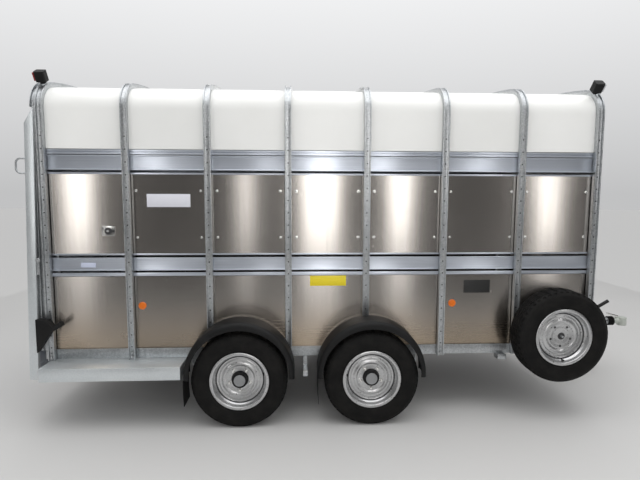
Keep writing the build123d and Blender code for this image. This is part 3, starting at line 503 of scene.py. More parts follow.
class HoopSettings(bpy.types.PropertyGroup):
    """Hoop section."""

    groove_depth: metres("Groove depth", "Depth of the groove along a hoop's outer face", 0.013, 0.001, 0.02)
    hole_pitch: metres("Hole pitch", "Distance between the holes along a hoop", 0.095, 0.03, 0.5)
    hole_radius: metres("Hole radius", "Radius of a hole in a hoop", 0.0045, 0.002, 0.01)


class SheetSettings(bpy.types.PropertyGroup):
    """Side panels and bands."""

    crown: metres("Crown", "How far a side panel stands out in the middle of its bay", 0.0008, 0.0, 0.005)
    roof_puff: metres("Roof puff", "How far the roof skin rises between two hoops", 0.003, 0.0, 0.01)


class TyreSettings(bpy.types.PropertyGroup):
    """Tyre tread."""

    groove_depth: metres("Tread depth", "Depth of the tread grooves", 0.007, 0.002, 0.012)
    blocks: bpy.props.IntProperty(
        name="Tread blocks", description="Number of steps round the tyre", default=96, min=48, max=160)


class StudioSettings(bpy.types.PropertyGroup):
    """Studio light and floor."""

    floor_colour: bpy.props.FloatVectorProperty(
        name="Floor", description="Colour of the studio floor", default=(0.60, 0.595, 0.585), size=3,
        min=0.0, max=1.0, subtype="COLOR")
    top_power: bpy.props.FloatProperty(
        name="Top light", description="Power of the large overhead light", default=190.0, min=0.0,
        unit="POWER")
    card_tone: bpy.props.FloatProperty(
        name="Dark cards", description="Brightness of the cards that the metal reflects", default=0.085,
        min=0.0)
    streak_tone: bpy.props.FloatProperty(
        name="Streaks", description="Brightness of the bright strips on the cards", default=4.0, min=0.0)


class TrailerSettings(bpy.types.PropertyGroup):
    """All settings of the trailer."""

    hoops: bpy.props.PointerProperty(type=HoopSettings)
    sheets: bpy.props.PointerProperty(type=SheetSettings)
    tyres: bpy.props.PointerProperty(type=TyreSettings)
    studio: bpy.props.PointerProperty(type=StudioSettings)


# ---- Body ----
class TRAILER_OT_hoops(bpy.types.Operator):
    """Grooved galvanised hoops from sill to sill over the roof"""

    bl_idname = "trailer.hoops"
    bl_label = "Hoops"

    def execute(self, context):
        settings = context.scene.trailer.hoops
        half, depth, groove = HOOP_WIDTH / 2, HOOP_DEPTH, settings.groove_depth
        flat, hollow, gap = half - 0.009, depth - groove - 0.004, 0.0005
        profile = [(-half, gap), (-half, depth), (-flat, depth), (-flat, depth - groove),
                   (flat, depth - groove), (flat, depth), (half, depth), (half, gap), (half - 0.003, gap),
                   (half - 0.003, hollow), (-half + 0.003, hollow), (-half + 0.003, gap)]
        bm = bmesh.new()
        for number in range(BAYS + 1):
            x = FIRST_HOOP_X + number * BAY
            edges = outline(bm, [(x + across, -WALL_Y - out, SILL_Z) for across, out in profile])
            over_the_roof(bm, edges, SHOULDER_Z - SILL_Z)
        bmesh.ops.holes_fill(bm, edges=bm.edges, sides=len(profile))
        bmesh.ops.recalc_face_normals(bm, faces=bm.faces)
        rounded(bm, 0.0018)
        publish("hoops", bm, "galvanised", replaces=("hoop_uprights", "roof_bows"))
        self.holes(settings)
        return {"FINISHED"}

    def holes(self, settings):
        """Small punched holes down the groove, each a dark cup with a turned-in rim: the dark is painted
        shade inside the hole.
        """
        bm = bmesh.new()
        radius = settings.hole_radius
        profile = [(0.0006, radius + 0.0012), (0.0012, radius), (0.0002, radius * 0.9), (0.0002, 0)]
        floor_y = WALL_Y + HOOP_DEPTH - settings.groove_depth
        count = int((SHOULDER_Z - SILL_Z - 0.12) / settings.hole_pitch)
        for number in range(BAYS + 1):
            for step in range(count):
                centre = (FIRST_HOOP_X + number * BAY, floor_y, SILL_Z + 0.1 + step * settings.hole_pitch)
                lathe(bm, profile, centre, (0, 1, 0), 12)
        both_sides(bm)
        # The dark cups are painted shade: the inside of each hole.
        publish("hoop_hole_shade", bm, "dark_steel")


class TRAILER_OT_roof(bpy.types.Operator):
    """White roof skin and the moulded upper front panel"""

    bl_idname = "trailer.roof"
    bl_label = "Roof and front"

    def execute(self, context):
        puff = context.scene.trailer.sheets.roof_puff
        low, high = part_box("roof_shell")
        steps = 8 * BAYS
        inset = 0.0001
        bm = bmesh.new()
        points = []
        for step in range(steps + 1):
            share = step / steps
            rise = puff * abs(sin(pi * BAYS * share)) ** 0.6
            points.append((low.x + (high.x - low.x) * share, -WALL_Y + inset - rise, low.z))
        over_the_roof(bm, outline(bm, points, closed=False), SHOULDER_Z - low.z, 20, 24)
        publish("roof_skin", bm, "roof_plastic", replaces=("roof_shell",), sharp=60, wall=0.003)
        self.front_panel()
        return {"FINISHED"}

    def front_panel(self):
        """Moulding with a flange, a rounded rim and a slightly domed field."""
        low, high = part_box("front_upper_panel")
        seed = bmesh.new()
        rim_y = -WALL_Y + 0.006
        edge = outline(seed, [(low.x - 0.01, rim_y, SHOULDER_Z), (low.x, rim_y, SHOULDER_Z)], closed=False)
        over_the_roof(seed, edge, 0)
        line = [v.co.copy() for v in seed.verts if abs(v.co.x - low.x) < SAME_PLACE]
        line.sort(key=lambda place: place.y)
        seed.free()
        line = [line[0]] + [b for a, b in zip(line, line[1:]) if (b - a).length > CLOSE_PLACE]
        lifts = (0.3, 0.05, 0.015, 0.0)
        foot = [Vector((low.x, side * rim_y, low.z + lift)) for side in (-1, 1) for lift in lifts]
        foot[4:] = reversed(foot[4:])
        bm = bmesh.new()
        edges = outline(bm, line + foot)
        centre = Vector((0, 0, (low.z + line[len(line) // 2].z) / 2))
        depth = high.x - low.x
        back = bmesh.ops.holes_fill(bm, edges=edges, sides=0)["faces"]
        if not back:
            raise RuntimeError("the front panel has no back")
        stages = ((1.0, 0.30), (0.998, 0.42), (0.992, 0.53), (0.984, 0.60), (0.972, 0.64), (0.93, 0.655),
                  (0.90, 0.66), (0.885, 0.72), (0.87, 0.78), (0.80, 0.84), (0.65, 0.91), (0.45, 0.965),
                  (0.25, 0.99), (0.08, 1.0))
        size, reach = 1.0, 0.0
        for share, out in stages:
            edges = extend(bm, edges, (depth * (out - reach), 0, 0))
            corners = list({v for e in edges for v in e.verts})
            factor = share / size
            bmesh.ops.scale(bm, vec=(1, factor, factor), space=Matrix.Translation(-centre), verts=corners)
            size, reach = share, out
        bmesh.ops.holes_fill(bm, edges=edges, sides=0)
        publish("front_panel", bm, "roof_plastic", replaces=("front_upper_panel",), sharp=50)
        refined("front_lower_panel", 0.002)


class TRAILER_OT_sides(bpy.types.Operator):
    """Aluminium side panels, bands, trims and the domed bolts"""

    bl_idname = "trailer.sides"
    bl_label = "Side panels"

    def execute(self, context):
        crown = context.scene.trailer.sheets.crown
        self.sheets("upper_side_panels", "upper_panels", crown)
        self.sheets("lower_side_panels", "lower_panels", crown)
        self.hems()
        self.bands()
        self.bolts()
        return {"FINISHED"}

    def sheets(self, name, node, crown):
        """One slightly crowned sheet in each bay."""
        low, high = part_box(node)
        gap = 0.0015
        bm = bmesh.new()
        for number in range(BAYS):
            left = FIRST_HOOP_X + number * BAY + gap
            right = left + BAY - 2 * gap
            centre = Vector(((left + right) / 2, high.y - crown, (low.z + high.z) / 2))
            half = Vector(((right - left) / 2, 1.0, (high.z - low.z) / 2))
            grid = bmesh.ops.create_grid(bm, x_segments=12, y_segments=8, size=1.0)["verts"]
            for corner in grid:
                across, up = corner.co.x, corner.co.y
                rise = crown * (1 - across ** 2) * (1 - up ** 2)
                corner.co = centre + Vector((across * half.x, rise, up * half.z))
        both_sides(bm)
        publish(name, bm, "aluminium", replaces=(node,), sharp=60, wall=0.003)

    def hems(self):
        """Folded bright edges along the top and bottom of the upper panels."""
        low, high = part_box("upper_panels")
        bm = bmesh.new()
        depth, tall = 0.0035, 0.013
        for z in (low.z, high.z - tall):
            block(bm, (low.x, PANEL_FACE_Y - 0.001, z), (high.x, PANEL_FACE_Y + depth, z + tall))
        both_sides(bm)
        rounded(bm, 0.0012)
        publish("panel_hems", bm, "aluminium", finish=finish_for("extrusion"))

    def bands(self):
        """Extruded bands with raised edges, the trim over the lower panels, and the double eave lip."""
        low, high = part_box("side_bands")
        face = WALL_Y - 0.0005
        wide = ((1.180, 1.282), (1.950, high.z - 0.042))
        narrow = ((low.z, low.z + 0.026), (high.z - 0.036, high.z - 0.022), (high.z - 0.015, high.z))
        bm = bmesh.new()
        for bottom, top in wide:
            lip, fold = 0.007, 0.004
            points = [(face - 0.010, bottom), (face, bottom), (face, bottom + lip),
                      (face - fold, bottom + lip + 0.002), (face - fold, top - lip - 0.002),
                      (face, top - lip), (face, top), (face - 0.010, top)]
            prism(bm, [(low.x, y, z) for y, z in points], (high.x - low.x, 0, 0))
        for bottom, top in narrow:
            block(bm, (low.x, face - 0.009, bottom), (high.x, face, top))
        backing = (high.z - 0.03, high.z - 0.01)
        block(bm, (low.x, face - 0.011, backing[0]), (high.x, face - 0.007, backing[1]))
        both_sides(bm)
        rounded(bm, 0.001)
        publish("side_band_extrusions", bm, "aluminium", replaces=("side_bands",),
                finish=finish_for("extrusion"))

    def bolts(self):
        """Domed bolt heads on thin washers."""
        low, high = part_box("panel_bolts")
        bm = bmesh.new()
        profile = [(0, 0.0118), (0.0012, 0.0118), (0.0014, 0.009), (0.0035, 0.0082), (0.0052, 0.0058),
                   (0.006, 0.0)]
        inset = low.x + 0.009 - FIRST_HOOP_X - BAY
        for number in range(1, BAYS):
            for x in (inset, BAY - inset):
                for z in (low.z + 0.009, high.z - 0.009):
                    centre = (FIRST_HOOP_X + number * BAY + x, PANEL_FACE_Y, z)
                    lathe(bm, profile, centre, (0, 1, 0), 14)
        both_sides(bm)
        publish("domed_panel_bolts", bm, "bright_zinc", replaces=("panel_bolts",), sharp=50)


class TRAILER_OT_side_fittings(bpy.types.Operator):
    """Turn latch, reflectors and blank labels on the sides"""

    bl_idname = "trailer.side_fittings"
    bl_label = "Side fittings"

    def execute(self, context):
        self.latch()
        self.reflectors()
        self.labels()
        return {"FINISHED"}

    def latch(self):
        """Base plate with its screws, and the turning ring with a wing."""
        low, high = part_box("latch_plate")
        centre = (low + high) / 2
        bm = bmesh.new()
        block(bm, (low.x, high.y - 0.004, low.z), (high.x, high.y, high.z))
        rounded(bm, 0.008, 3, edges=[e for e in bm.edges if abs((e.verts[0].co - e.verts[1].co).y) > 0.003])
        rounded(bm, 0.001)
        for x in (low.x + 0.012, high.x - 0.012):
            for z in (low.z + 0.012, high.z - 0.012):
                dome = [(0, 0.005), (0.002, 0.0045), (0.0032, 0.0)]
                lathe(bm, dome, (x, high.y - 0.004, z), (0, -1, 0), 12)
        rod(bm, (centre.x, high.y - 0.003, centre.z), (centre.x, low.y, centre.z), 0.0098, 24)
        publish("latch_base", bm, "bright_zinc", replaces=("latch_plate",))
        low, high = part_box("latch_handle")
        bm = bmesh.new()
        ring = [(0, 0.0103), (0, 0.026), (0.003, 0.0275), (0.008, 0.026), (0.010, 0.022), (0.010, 0.0103)]
        lathe(bm, ring, (centre.x, high.y, centre.z), (0, -1, 0), 36, closed=True)
        wing = block(bm, (centre.x + 0.018, low.y, centre.z - 0.009), (high.x, high.y, centre.z + 0.009))
        rounded(bm, 0.003, 3, 60, list({e for v in wing for e in v.link_edges}))
        publish("latch_turn_ring", bm, "dark_steel", "latch", replaces=("latch_handle",))

    def reflectors(self):
        """Round lenses with a raised rim."""
        low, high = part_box("side_reflectors")
        bm = bmesh.new()
        profile = [(0, 0.03), (0.005, 0.03), (0.0065, 0.0288), (0.0058, 0.0268), (0.0074, 0.025),
                   (0.008, 0.018), (0.0076, 0.012), (0.008, 0.006), (0.008, 0)]
        for x in (low.x + 0.03, high.x - 0.03):
            lathe(bm, profile, (x, PANEL_FACE_Y, (low.z + high.z) / 2), (0, 1, 0), 40)
        both_sides(bm)
        publish("orange_reflectors", bm, "orange_lens", replaces=("side_reflectors",), sharp=28)

    def labels(self):
        """Blank plates where a maker would stick labels."""
        # Name, lower corner from the first hoop, size, face, border and the wall's place.
        plates = (
            ("white_label", (0.750, 1.671), (0.329, 0.100), rgb(0.78, 0.78, 0.84), rgb(0.6, 0.6, 0.7),
             PANEL_FACE_Y),
            ("yellow_label", (1.999, 1.050), (0.286, 0.082), rgb(0.9, 0.72, 0.0), rgb(0.75, 0.55, 0.0),
             PANEL_FACE_Y),
            ("small_label", (0.237, 1.206), (0.112, 0.036), rgb(0.6, 0.64, 0.78), rgb(0.4, 0.45, 0.66),
             WALL_Y - 0.0045),
            ("black_label", (3.237, 0.985), (0.215, 0.105), rgb(0.01, 0.01, 0.01), rgb(0.03, 0.03, 0.03),
             PANEL_FACE_Y),
        )
        for name, (x, z), (wide, tall), face, border, y in plates:
            bm = bmesh.new()
            left = FIRST_HOOP_X + x
            block(bm, (left, -y - 0.0012, z), (left + wide, -y + 0.0004, z + tall))
            rounded(bm, 0.0004)
            publish(name, bm, "aluminium", finish=label_finish(name, face, border))


# ---- Rear ----
class TRAILER_OT_rear(bpy.types.Operator):
    """Rear frame, inner gates, ramp catches and marker lamps"""

    bl_idname = "trailer.rear"
    bl_label = "Rear frame and lamps"

    def execute(self, context):
        self.frame_posts()
        for side, _ in SIDES:
            refined(f"gate_{side}", 0.001)
            refined(f"ramp_catch_{side}", 0.0025, 3)
        refined("lamp_bodies", 0.004, 3)
        refined("red_lenses", 0.0025, 3)
        refined("white_lenses", 0.0025, 3)
        refined("side_shelves", 0.0008, finish=finish_for("zinc_sheet"))
        self.shelf_fittings()
        return {"FINISHED"}

    def frame_posts(self):
        """Finned channel posts beside the ramp, joined by a grooved arch over the roof line."""
        foot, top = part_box("rear_frame")[0].z, SHOULDER_Z
        front = FIRST_HOOP_X - HOOP_WIDTH / 2 - 0.0005
        slope = tan(RAMP_LEAN)
        rear_foot, rear_top = (RAMP_FOOT_X + (z - RAMP_FOOT_Z) * slope + 0.004 for z in (foot, top))
        bm = bmesh.new()
        fin = 0.004
        leaves = [(0.0, 0.0, 1.0, 0.0, 0.897, 0.914)]
        for share in (0.0, 0.5, 1.0):
            leaves.append((share, -fin * share, share, fin * (1.0 - share), 0.914, 0.938))
        for share in (0.0, 1.0):
            leaves.append((share, -fin * share, share, fin * (1.0 - share), 0.878, 0.897))
        for start, before, end, after, inner, outer in leaves:
            corners = []
            for z, rear in ((foot, rear_foot), (top, rear_top)):
                width = front - rear
                corners.append([(rear + width * start + before, -inner, z),
                                (rear + width * end + after, -inner, z)])
            prism(bm, corners[0] + corners[1][::-1], (0, inner - outer, 0))
        both_sides(bm)
        rounded(bm, 0.0012)
        arch = bmesh.new()
        rear, lip = front - 0.0345, 0.005
        profile = [(rear, -0.022), (rear, 0.038), (rear + lip, 0.038), (rear + lip, 0.020),
                   (front - lip, 0.020), (front - lip, 0.038), (front, 0.038), (front, -0.022)]
        over_the_roof(arch, outline(arch, [(x, -WALL_Y - out, SHOULDER_Z) for x, out in profile]), 0)
        bmesh.ops.holes_fill(arch, edges=arch.edges, sides=len(profile))
        bmesh.ops.recalc_face_normals(arch, faces=arch.faces)
        rounded(arch, 0.0012)
        publish("rear_posts", bm, "galvanised", replaces=("rear_frame",))
        publish("rear_arch", arch, "galvanised")

    def shelf_fittings(self):
        """Folded edge under each shelf lip, and the rivets along it."""
        low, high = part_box("side_shelves")
        bm = bmesh.new()
        block(bm, (low.x, high.y - 0.030, low.z), (high.x, high.y - 0.004, low.z + 0.003))
        block(bm, (high.x - 0.003, WALL_Y + 0.02, low.z + 0.004), (high.x, high.y - 0.004, high.z - 0.004))
        rivet = [(0, 0.006), (0.0015, 0.0055), (0.003, 0.003), (0.0034, 0)]
        for step in range(5):
            x = low.x + 0.06 + step * (high.x - low.x - 0.12) / 4
            lathe(bm, rivet, (x, WALL_Y + 0.055, high.z), (0, 0, 1), 12, (1, 0, 0))
        both_sides(bm)
        publish("shelf_folds", bm, "galvanised", finish=finish_for("zinc_sheet"))


class TRAILER_OT_ramp(bpy.types.Operator):
    """Rear ramp: side channels, planked skin, bars, grab loops and hinge knuckles"""

    bl_idname = "trailer.ramp"
    bl_label = "Ramp"

    def execute(self, context):
        refined("ramp_channels", 0.0025, 3, finish=finish_for("zinc_sheet"))
        refined("ramp_bars", 0.003, 3)
        refined("ramp_fittings", 0.0006)
        self.planks()
        return {"FINISHED"}

    def planks(self):
        """Extruded planks laid across the ramp, with a shallow vee at each joint."""
        lean, thickness, count = RAMP_LEAN, 0.008, 18
        low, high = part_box("ramp_panel")
        foot = Vector((low.x + thickness * cos(lean), 0, low.z))
        length = (high.z - thickness * sin(lean) - low.z) / cos(lean)
        place = Matrix.Translation(foot) @ Matrix.Rotation(lean, 4, "Y")
        bm = bmesh.new()
        tall = length / count
        for number in range(count):
            block(bm, (-thickness, low.y, number * tall), (0, high.y, (number + 1) * tall))
        rounded(bm, 0.002, 2, 60)
        bmesh.ops.transform(bm, matrix=place, verts=bm.verts)
        publish("ramp_planks", bm, "aluminium", "ramp", ("ramp_panel",), finish_for("extrusion"))


# ---- Wheels ----
def tyre_mesh(centre, side, settings):
    """A tyre with ribbed sidewalls, circumferential grooves and cut shoulders."""
    groove = settings.groove_depth
    r = TYRE_RADIUS
    sidewall = [(0.077, 0.206), (0.0775, 0.2265), (0.081, 0.231), (0.0845, 0.238), (0.087, 0.2445),
                (0.0865, 0.248), (0.0885, 0.256), (0.091, 0.272), (0.092, 0.288), (0.0915, 0.300),
                (0.0905, 0.3015), (0.0905, 0.3045), (0.0905, 0.306), (0.088, 0.322), (0.0865, 0.3265),
                (0.0868, 0.3285), (0.084, 0.336), (0.0795, 0.3425), (0.0765, 0.347), (0.0715, 0.3545),
                (0.066, r - 0.004), (0.060, r - 0.001)]
    tread = []
    for middle_s in (0.041, 0.0135):
        tread += [(middle_s + 0.0045, r), (middle_s + 0.0035, r - groove), (middle_s - 0.0035, r - groove),
                  (middle_s - 0.0045, r)]
    half = sidewall + tread
    profile = half + [(-s, radius) for s, radius in reversed(half)]
    lining = [(-0.062, 0.206), (-0.066, 0.226), (-0.078, 0.288), (-0.062, 0.340), (0.062, 0.340),
              (0.078, 0.288), (0.066, 0.226), (0.062, 0.206)]
    bm = bmesh.new()
    lathe(bm, profile + lining, centre, (0, side, 0), settings.blocks, closed=True)
    bmesh.ops.recalc_face_normals(bm, faces=bm.faces)
    cut = []
    for face in bm.faces:
        offset = face.calc_center_median() - Vector(centre)
        radius = (offset.x ** 2 + offset.z ** 2) ** 0.5
        number = round(atan2(offset.x, offset.z) / (2 * pi) * settings.blocks - 0.5)
        if r - 0.0135 < radius < r - 0.0045 and abs(offset.y) > 0.062 and number % 2 == 0:
            cut.append(face)
        if radius > r - 0.0015 and abs(offset.y) < 0.058 and number % 3 == 0:
            cut.append(face)
    bmesh.ops.inset_individual(bm, faces=cut, thickness=0.0022, depth=-0.0035, use_even_offset=True)
    return bm


# Well-base rim with a dished disc pressed in rings: its outer face, then its inner one.
RIM_PROFILE = [
    (0.0785, 0.2075), (0.0795, 0.2215), (0.0825, 0.224), (0.0855, 0.222), (0.0858, 0.2085),
    (0.084, 0.2035), (0.0815, 0.2005), (0.072, 0.1985), (0.060, 0.1980), (0.0535, 0.1965),
    (0.048, 0.191), (0.0395, 0.1855), (0.034, 0.180), (0.0305, 0.174), (0.0285, 0.167),
    (0.0290, 0.1605), (0.0330, 0.1550), (0.0332, 0.1515), (0.0300, 0.1475), (0.0305, 0.1400),
    (0.0350, 0.1315), (0.0382, 0.1265), (0.0386, 0.1215), (0.0365, 0.1155), (0.0322, 0.1095),
    (0.0300, 0.1055), (0.0298, 0.1010), (0.0318, 0.0975), (0.0302, 0.094), (0.0302, 0.066),
    (0.024, 0.066), (0.024, 0.104), (0.031, 0.121), (0.024, 0.160), (-0.004, 0.180), (-0.022, 0.180),
    (-0.038, 0.198), (-0.083, 0.200), (-0.0858, 0.2085), (-0.0855, 0.222), (-0.0825, 0.224),
    (-0.0795, 0.2215), (-0.0785, 0.2060), (-0.048, 0.2040), (-0.034, 0.1865), (0.034, 0.1865),
    (0.048, 0.2035),
]
# A dark ring of painted shade in the seam where the disc is pressed into the rim.
SEAM_SHADE_PROFILE = [(0.0338, 0.1755), (0.0372, 0.1765), (0.0402, 0.1835), (0.0392, 0.1850), (0.0352, 0.1805)]
DISC_FACE = 0.0302
STUDS = 5
STUD_CIRCLE = 0.08255


def stud_places(centre, y):
    """The stud places round a wheel's centre, the first one straight down."""
    for number in range(STUDS):
        angle = -pi / 2 + number * 2 * pi / STUDS
        yield Vector((centre.x + STUD_CIRCLE * cos(angle), y, centre.z + STUD_CIRCLE * sin(angle)))


def valve_mesh(centre, side, angle):
    """Rubber tyre valve with its cap, near the rim's edge."""
    bm = bmesh.new()
    out = Vector((cos(angle), 0, sin(angle)))
    base = Vector(centre) + out * 0.187 + Vector((0, side * 0.040, 0))
    profile = [(0, 0), (0, 0.0085), (0.004, 0.008), (0.008, 0.0055), (0.024, 0.005), (0.025, 0.0045),
               (0.026, 0.0052), (0.034, 0.0052), (0.035, 0.004), (0.035, 0)]
    lathe(bm, profile, base, Vector((0, side, 0)), 16, out)
    return bm


def nuts_mesh(centre, side):
    """Chamfered wheel nuts on their studs."""
    nut = [(0, 0), (0, 0.0138), (0.003, 0.0138), (0.0032, 0.0124), (0.014, 0.0124), (0.016, 0.0104),
           (0.016, 0)]
    stud = [(0.015, 0.0068), (0.019, 0.0068), (0.020, 0.006), (0.020, 0)]
    bm = bmesh.new()
    for place in stud_places(centre, centre.y + side * DISC_FACE):
        lathe(bm, nut, place, (0, side, 0), 6)
        lathe(bm, stud, place, (0, side, 0), 12)
    return bm


class TRAILER_OT_wheels(bpy.types.Operator):
    """Four road wheels with tyres, pressed rims, hubs and nuts"""

    bl_idname = "trailer.wheels"
    bl_label = "Road wheels"

    def execute(self, context):
        settings = context.scene.trailer.tyres
        for axle, valve_angle in (("rear", 0.25), ("front", 3.0)):
            for side_name, side in SIDES:
                tag = f"{axle}_{side_name}"
                body = f"wheel_{tag}"
                centre = middle(f"tyre_{tag}")
                publish(f"tyre_{tag}_piece", tyre_mesh(centre, side, settings), "tyre_rubber", body,
                        (f"tyre_{tag}",), sharp=26)
                turned(f"rim_{tag}_piece", RIM_PROFILE, centre, (0, side, 0), 72, "silver_paint", body,
                       (f"rim_{tag}",), True, 60)
                # Dark ring: painted shade in the rim's seam.
                turned(f"painted_seam_shade_{tag}", SEAM_SHADE_PROFILE, centre, (0, side, 0), 64, "dark_steel", body,
                       closed=True)
                publish(f"valve_{tag}", valve_mesh(centre, side, valve_angle), "black_rubber", body)
                publish(f"nuts_{tag}", nuts_mesh(centre, side), "bright_zinc", body)
                self.hub(tag, body, centre, side)
        return {"FINISHED"}

    def hub(self, tag, body, centre, side):
        """Brake drum behind the disc, a dark collar and a grey cap with a rim."""
        drum = [(-0.060, 0), (-0.060, 0.120), (-0.056, 0.128), (-0.004, 0.128), (0.004, 0.124),
                (0.010, 0.104), (0.0235, 0.1035), (0.0235, 0.050), (0.030, 0.050), (0.030, 0)]
        collar = [(0.0300, 0.0), (0.0300, 0.0605), (0.048, 0.0605), (0.058, 0.0595), (0.063, 0.057),
                  (0.064, 0.054), (0.064, 0.0465), (0.061, 0.0445), (0.061, 0)]
        cap = [(0.0600, 0.0), (0.0600, 0.0440), (0.0690, 0.0435), (0.0715, 0.0410), (0.0708, 0.0385),
               (0.0700, 0.0365), (0.0712, 0.022), (0.0718, 0.0)]
        axis = (0, side, 0)
        turned(f"hub_drum_{tag}", drum, centre, axis, 64, "dark_steel", body, (f"hub_{tag}",))
        turned(f"hub_collar_{tag}", collar, centre, axis, 48, "black_rubber", body)
        turned(f"hub_cap_{tag}", cap, centre, axis, 48, "hub_grey", body)


class TRAILER_OT_spare(bpy.types.Operator):
    """Spare wheel and its carrier on the right-hand side"""

    bl_idname = "trailer.spare"
    bl_label = "Spare wheel"

    def execute(self, context):
        side = -1
        axis = (0, side, 0)
        centre = middle("spare_tyre")
        publish("spare_tyre_piece", tyre_mesh(centre, side, context.scene.trailer.tyres), "tyre_rubber",
                replaces=("spare_tyre",), sharp=26)
        turned("spare_rim_piece", RIM_PROFILE, centre, axis, 72, "silver_paint", replaces=("spare_rim",),
               closed=True, sharp=60)
        # Dark ring: painted shade in the rim's seam.
        turned("spare_weld_gap", SEAM_SHADE_PROFILE, centre, axis, 64, "dark_steel", closed=True)
        publish("spare_valve", valve_mesh(centre, side, -1.5), "black_rubber")
        self.carrier(centre)
        return {"FINISHED"}

    def carrier(self, centre):
        """Wall plate, stand-off tube, threaded rod and the round clamp plate with its holes, drawn as dark
        discs of painted shade.
        """
        low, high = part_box("spare_carrier")
        bm = bmesh.new()
        block(bm, (low.x, high.y - 0.016, low.z), (high.x, high.y, high.z))
        rounded(bm, 0.004, 2)
        rod(bm, (centre.x, -WALL_Y - 0.006, centre.z), (centre.x, centre.y - 0.0235, centre.z), 0.056, 40)
        rod(bm, (centre.x, centre.y - 0.02, centre.z), (centre.x, low.y + 0.02, centre.z), 0.008, 20)
        publish("spare_standoff", bm, "galvanised", replaces=("spare_carrier",))
        face_y = centre.y - DISC_FACE - 0.0001
        plate = [(0, 0.013), (0, 0.070), (0.004, 0.0705), (0.0062, 0.069), (0.007, 0.064), (0.0055, 0.060),
                 (0.0055, 0.030), (0.0085, 0.026), (0.0085, 0.016), (0.005, 0.013)]
        turned("spare_clamp_plate", plate, (centre.x, face_y, centre.z), (0, -1, 0), 56, "silver_paint",
               closed=True)
        # Painted shade: dark discs stand for the shadow inside the middle hole and the empty stud holes.
        middle_hole_shade = [(0.0001, 0.0285), (0.0012, 0.0268), (0.0004, 0.022), (0.0004, 0.0)]
        stud_hole_shade = [(0.0001, 0.0096), (0.0006, 0.0088), (0.0003, 0.008), (0.0003, 0)]
        bm = bmesh.new()
        lathe(bm, middle_hole_shade, (centre.x, face_y - 0.0086, centre.z), (0, -1, 0), 40)
        for place in stud_places(centre, face_y - 0.0001):
            lathe(bm, stud_hole_shade, place, (0, -1, 0), 16)
        publish("spare_plate_hole_shade", bm, "dark_steel")


class TRAILER_OT_mudguards(bpy.types.Operator):
    """Arched plastic mudguards with rolled lips, and their flaps"""

    bl_idname = "trailer.mudguards"
    bl_label = "Mudguards"

    def execute(self, context):
        outer_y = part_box("mudguards")[1].y
        radius, rise, lip_drop, corner = 0.417, 0.040, 0.020, 0.030
        inner_y, lip_radius = WALL_Y + HOOP_DEPTH + 0.0005, 0.376
        crown = [(inner_y, radius - 0.014), (inner_y, radius - 0.001), (inner_y + 0.004, radius),
                 (outer_y - corner, radius)]
        crown += [(outer_y - corner + corner * sin(a), radius - corner + corner * cos(a))
                  for a in (pi / 10, pi / 5, 3 * pi / 10, 2 * pi / 5, pi / 2)]
        skirt = [(outer_y, lip_radius + 0.004), (outer_y - 0.001, lip_radius + 0.001),
                 (outer_y - 0.006, lip_radius)]
        bm = bmesh.new()
        for axle in ("rear", "front"):
            wheel = middle(f"tyre_{axle}_right")
            hub = Vector((wheel.x, 0, wheel.z + rise))
            droop = radians(3)
            rim = [hub + Vector((-r * cos(droop), y, -r * sin(droop))) for y, r in crown + skirt]
            edges = outline(bm, rim, closed=False)
            corners = list({v for e in edges for v in e.verts})
            before = set(bm.verts)
            bmesh.ops.spin(bm, geom=edges + corners, cent=hub, axis=(0, 1, 0), angle=pi + 2 * droop, steps=56,
                           use_merge=False, use_duplicate=False)
            for vert in set(corners) | (set(bm.verts) - before):
                offset = vert.co - hub
                reach = (offset.x ** 2 + offset.z ** 2) ** 0.5
                share = min(1.0, max(0.0, (radius - corner - reach) / (radius - corner - lip_radius)))
                if vert.co.y > outer_y - 0.01:
                    vert.co.z -= lip_drop * share * max(0.0, offset.z / reach)
        both_sides(bm)
        publish("mudguard_arches", bm, "mudguard_plastic", replaces=("mudguards",), sharp=50, wall=0.004)
        self.flaps()
        return {"FINISHED"}

    def flaps(self):
        """Flaps behind the wheels, each curling a little towards its foot."""
        low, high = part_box("mud_flaps")
        inner_y = WALL_Y + HOOP_DEPTH + 0.012
        behind, steps = 0.416, 10
        drop = (high.z - low.z) / steps
        bm = bmesh.new()
        for axle in ("rear", "front"):
            x = middle(f"tyre_{axle}_right").x - behind
            edges = outline(bm, [(x, inner_y, high.z), (x, high.y, high.z)], closed=False)
            for step in range(steps):
                curl = 0.0022 * ((step + 1) / steps - 0.3)
                edges = extend(bm, edges, (curl, 0, -drop))
        both_sides(bm)
        publish("rubber_mud_flaps", bm, "black_rubber", replaces=("mud_flaps",), wall=0.004)


# ---- Chassis and towing gear ----
class TRAILER_OT_chassis(bpy.types.Operator):
    """Rails, cross members, deck, brackets, axles and springs"""

    bl_idname = "trailer.chassis"
    bl_label = "Chassis"

    def execute(self, context):
        for node in ("side_rails", "cross_members", "floor_deck"):
            refined(node, 0.002)
        for node in ("drawbar", "chassis_brackets", "leaf_springs"):
            refined(node, 0.0015)
        refined("axle_beams", 0.003)
        self.seams()
        return {"FINISHED"}

    def seams(self):
        """Flange along the top of each sill, bolted through every hoop foot."""
        low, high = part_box("side_rails")
        bm = bmesh.new()
        block(bm, (low.x, WALL_Y - 0.004, high.z - 0.004), (high.x, WALL_Y + 0.003, high.z + 0.003))
        bolt = [(0, 0.010), (0.001, 0.010), (0.001, 0.0085), (0.006, 0.008), (0.007, 0.006), (0.007, 0)]
        bolt_y = WALL_Y + HOOP_DEPTH - 0.006
        for number in range(BAYS + 1):
            for z in (low.z + 0.022, low.z + 0.054):
                centre = (FIRST_HOOP_X + number * BAY, bolt_y, z)
                lathe(bm, bolt, centre, (0, 1, 0), 6)
        both_sides(bm)
        rounded(bm, 0.0008)
        publish("sill_flanges", bm, "galvanised")


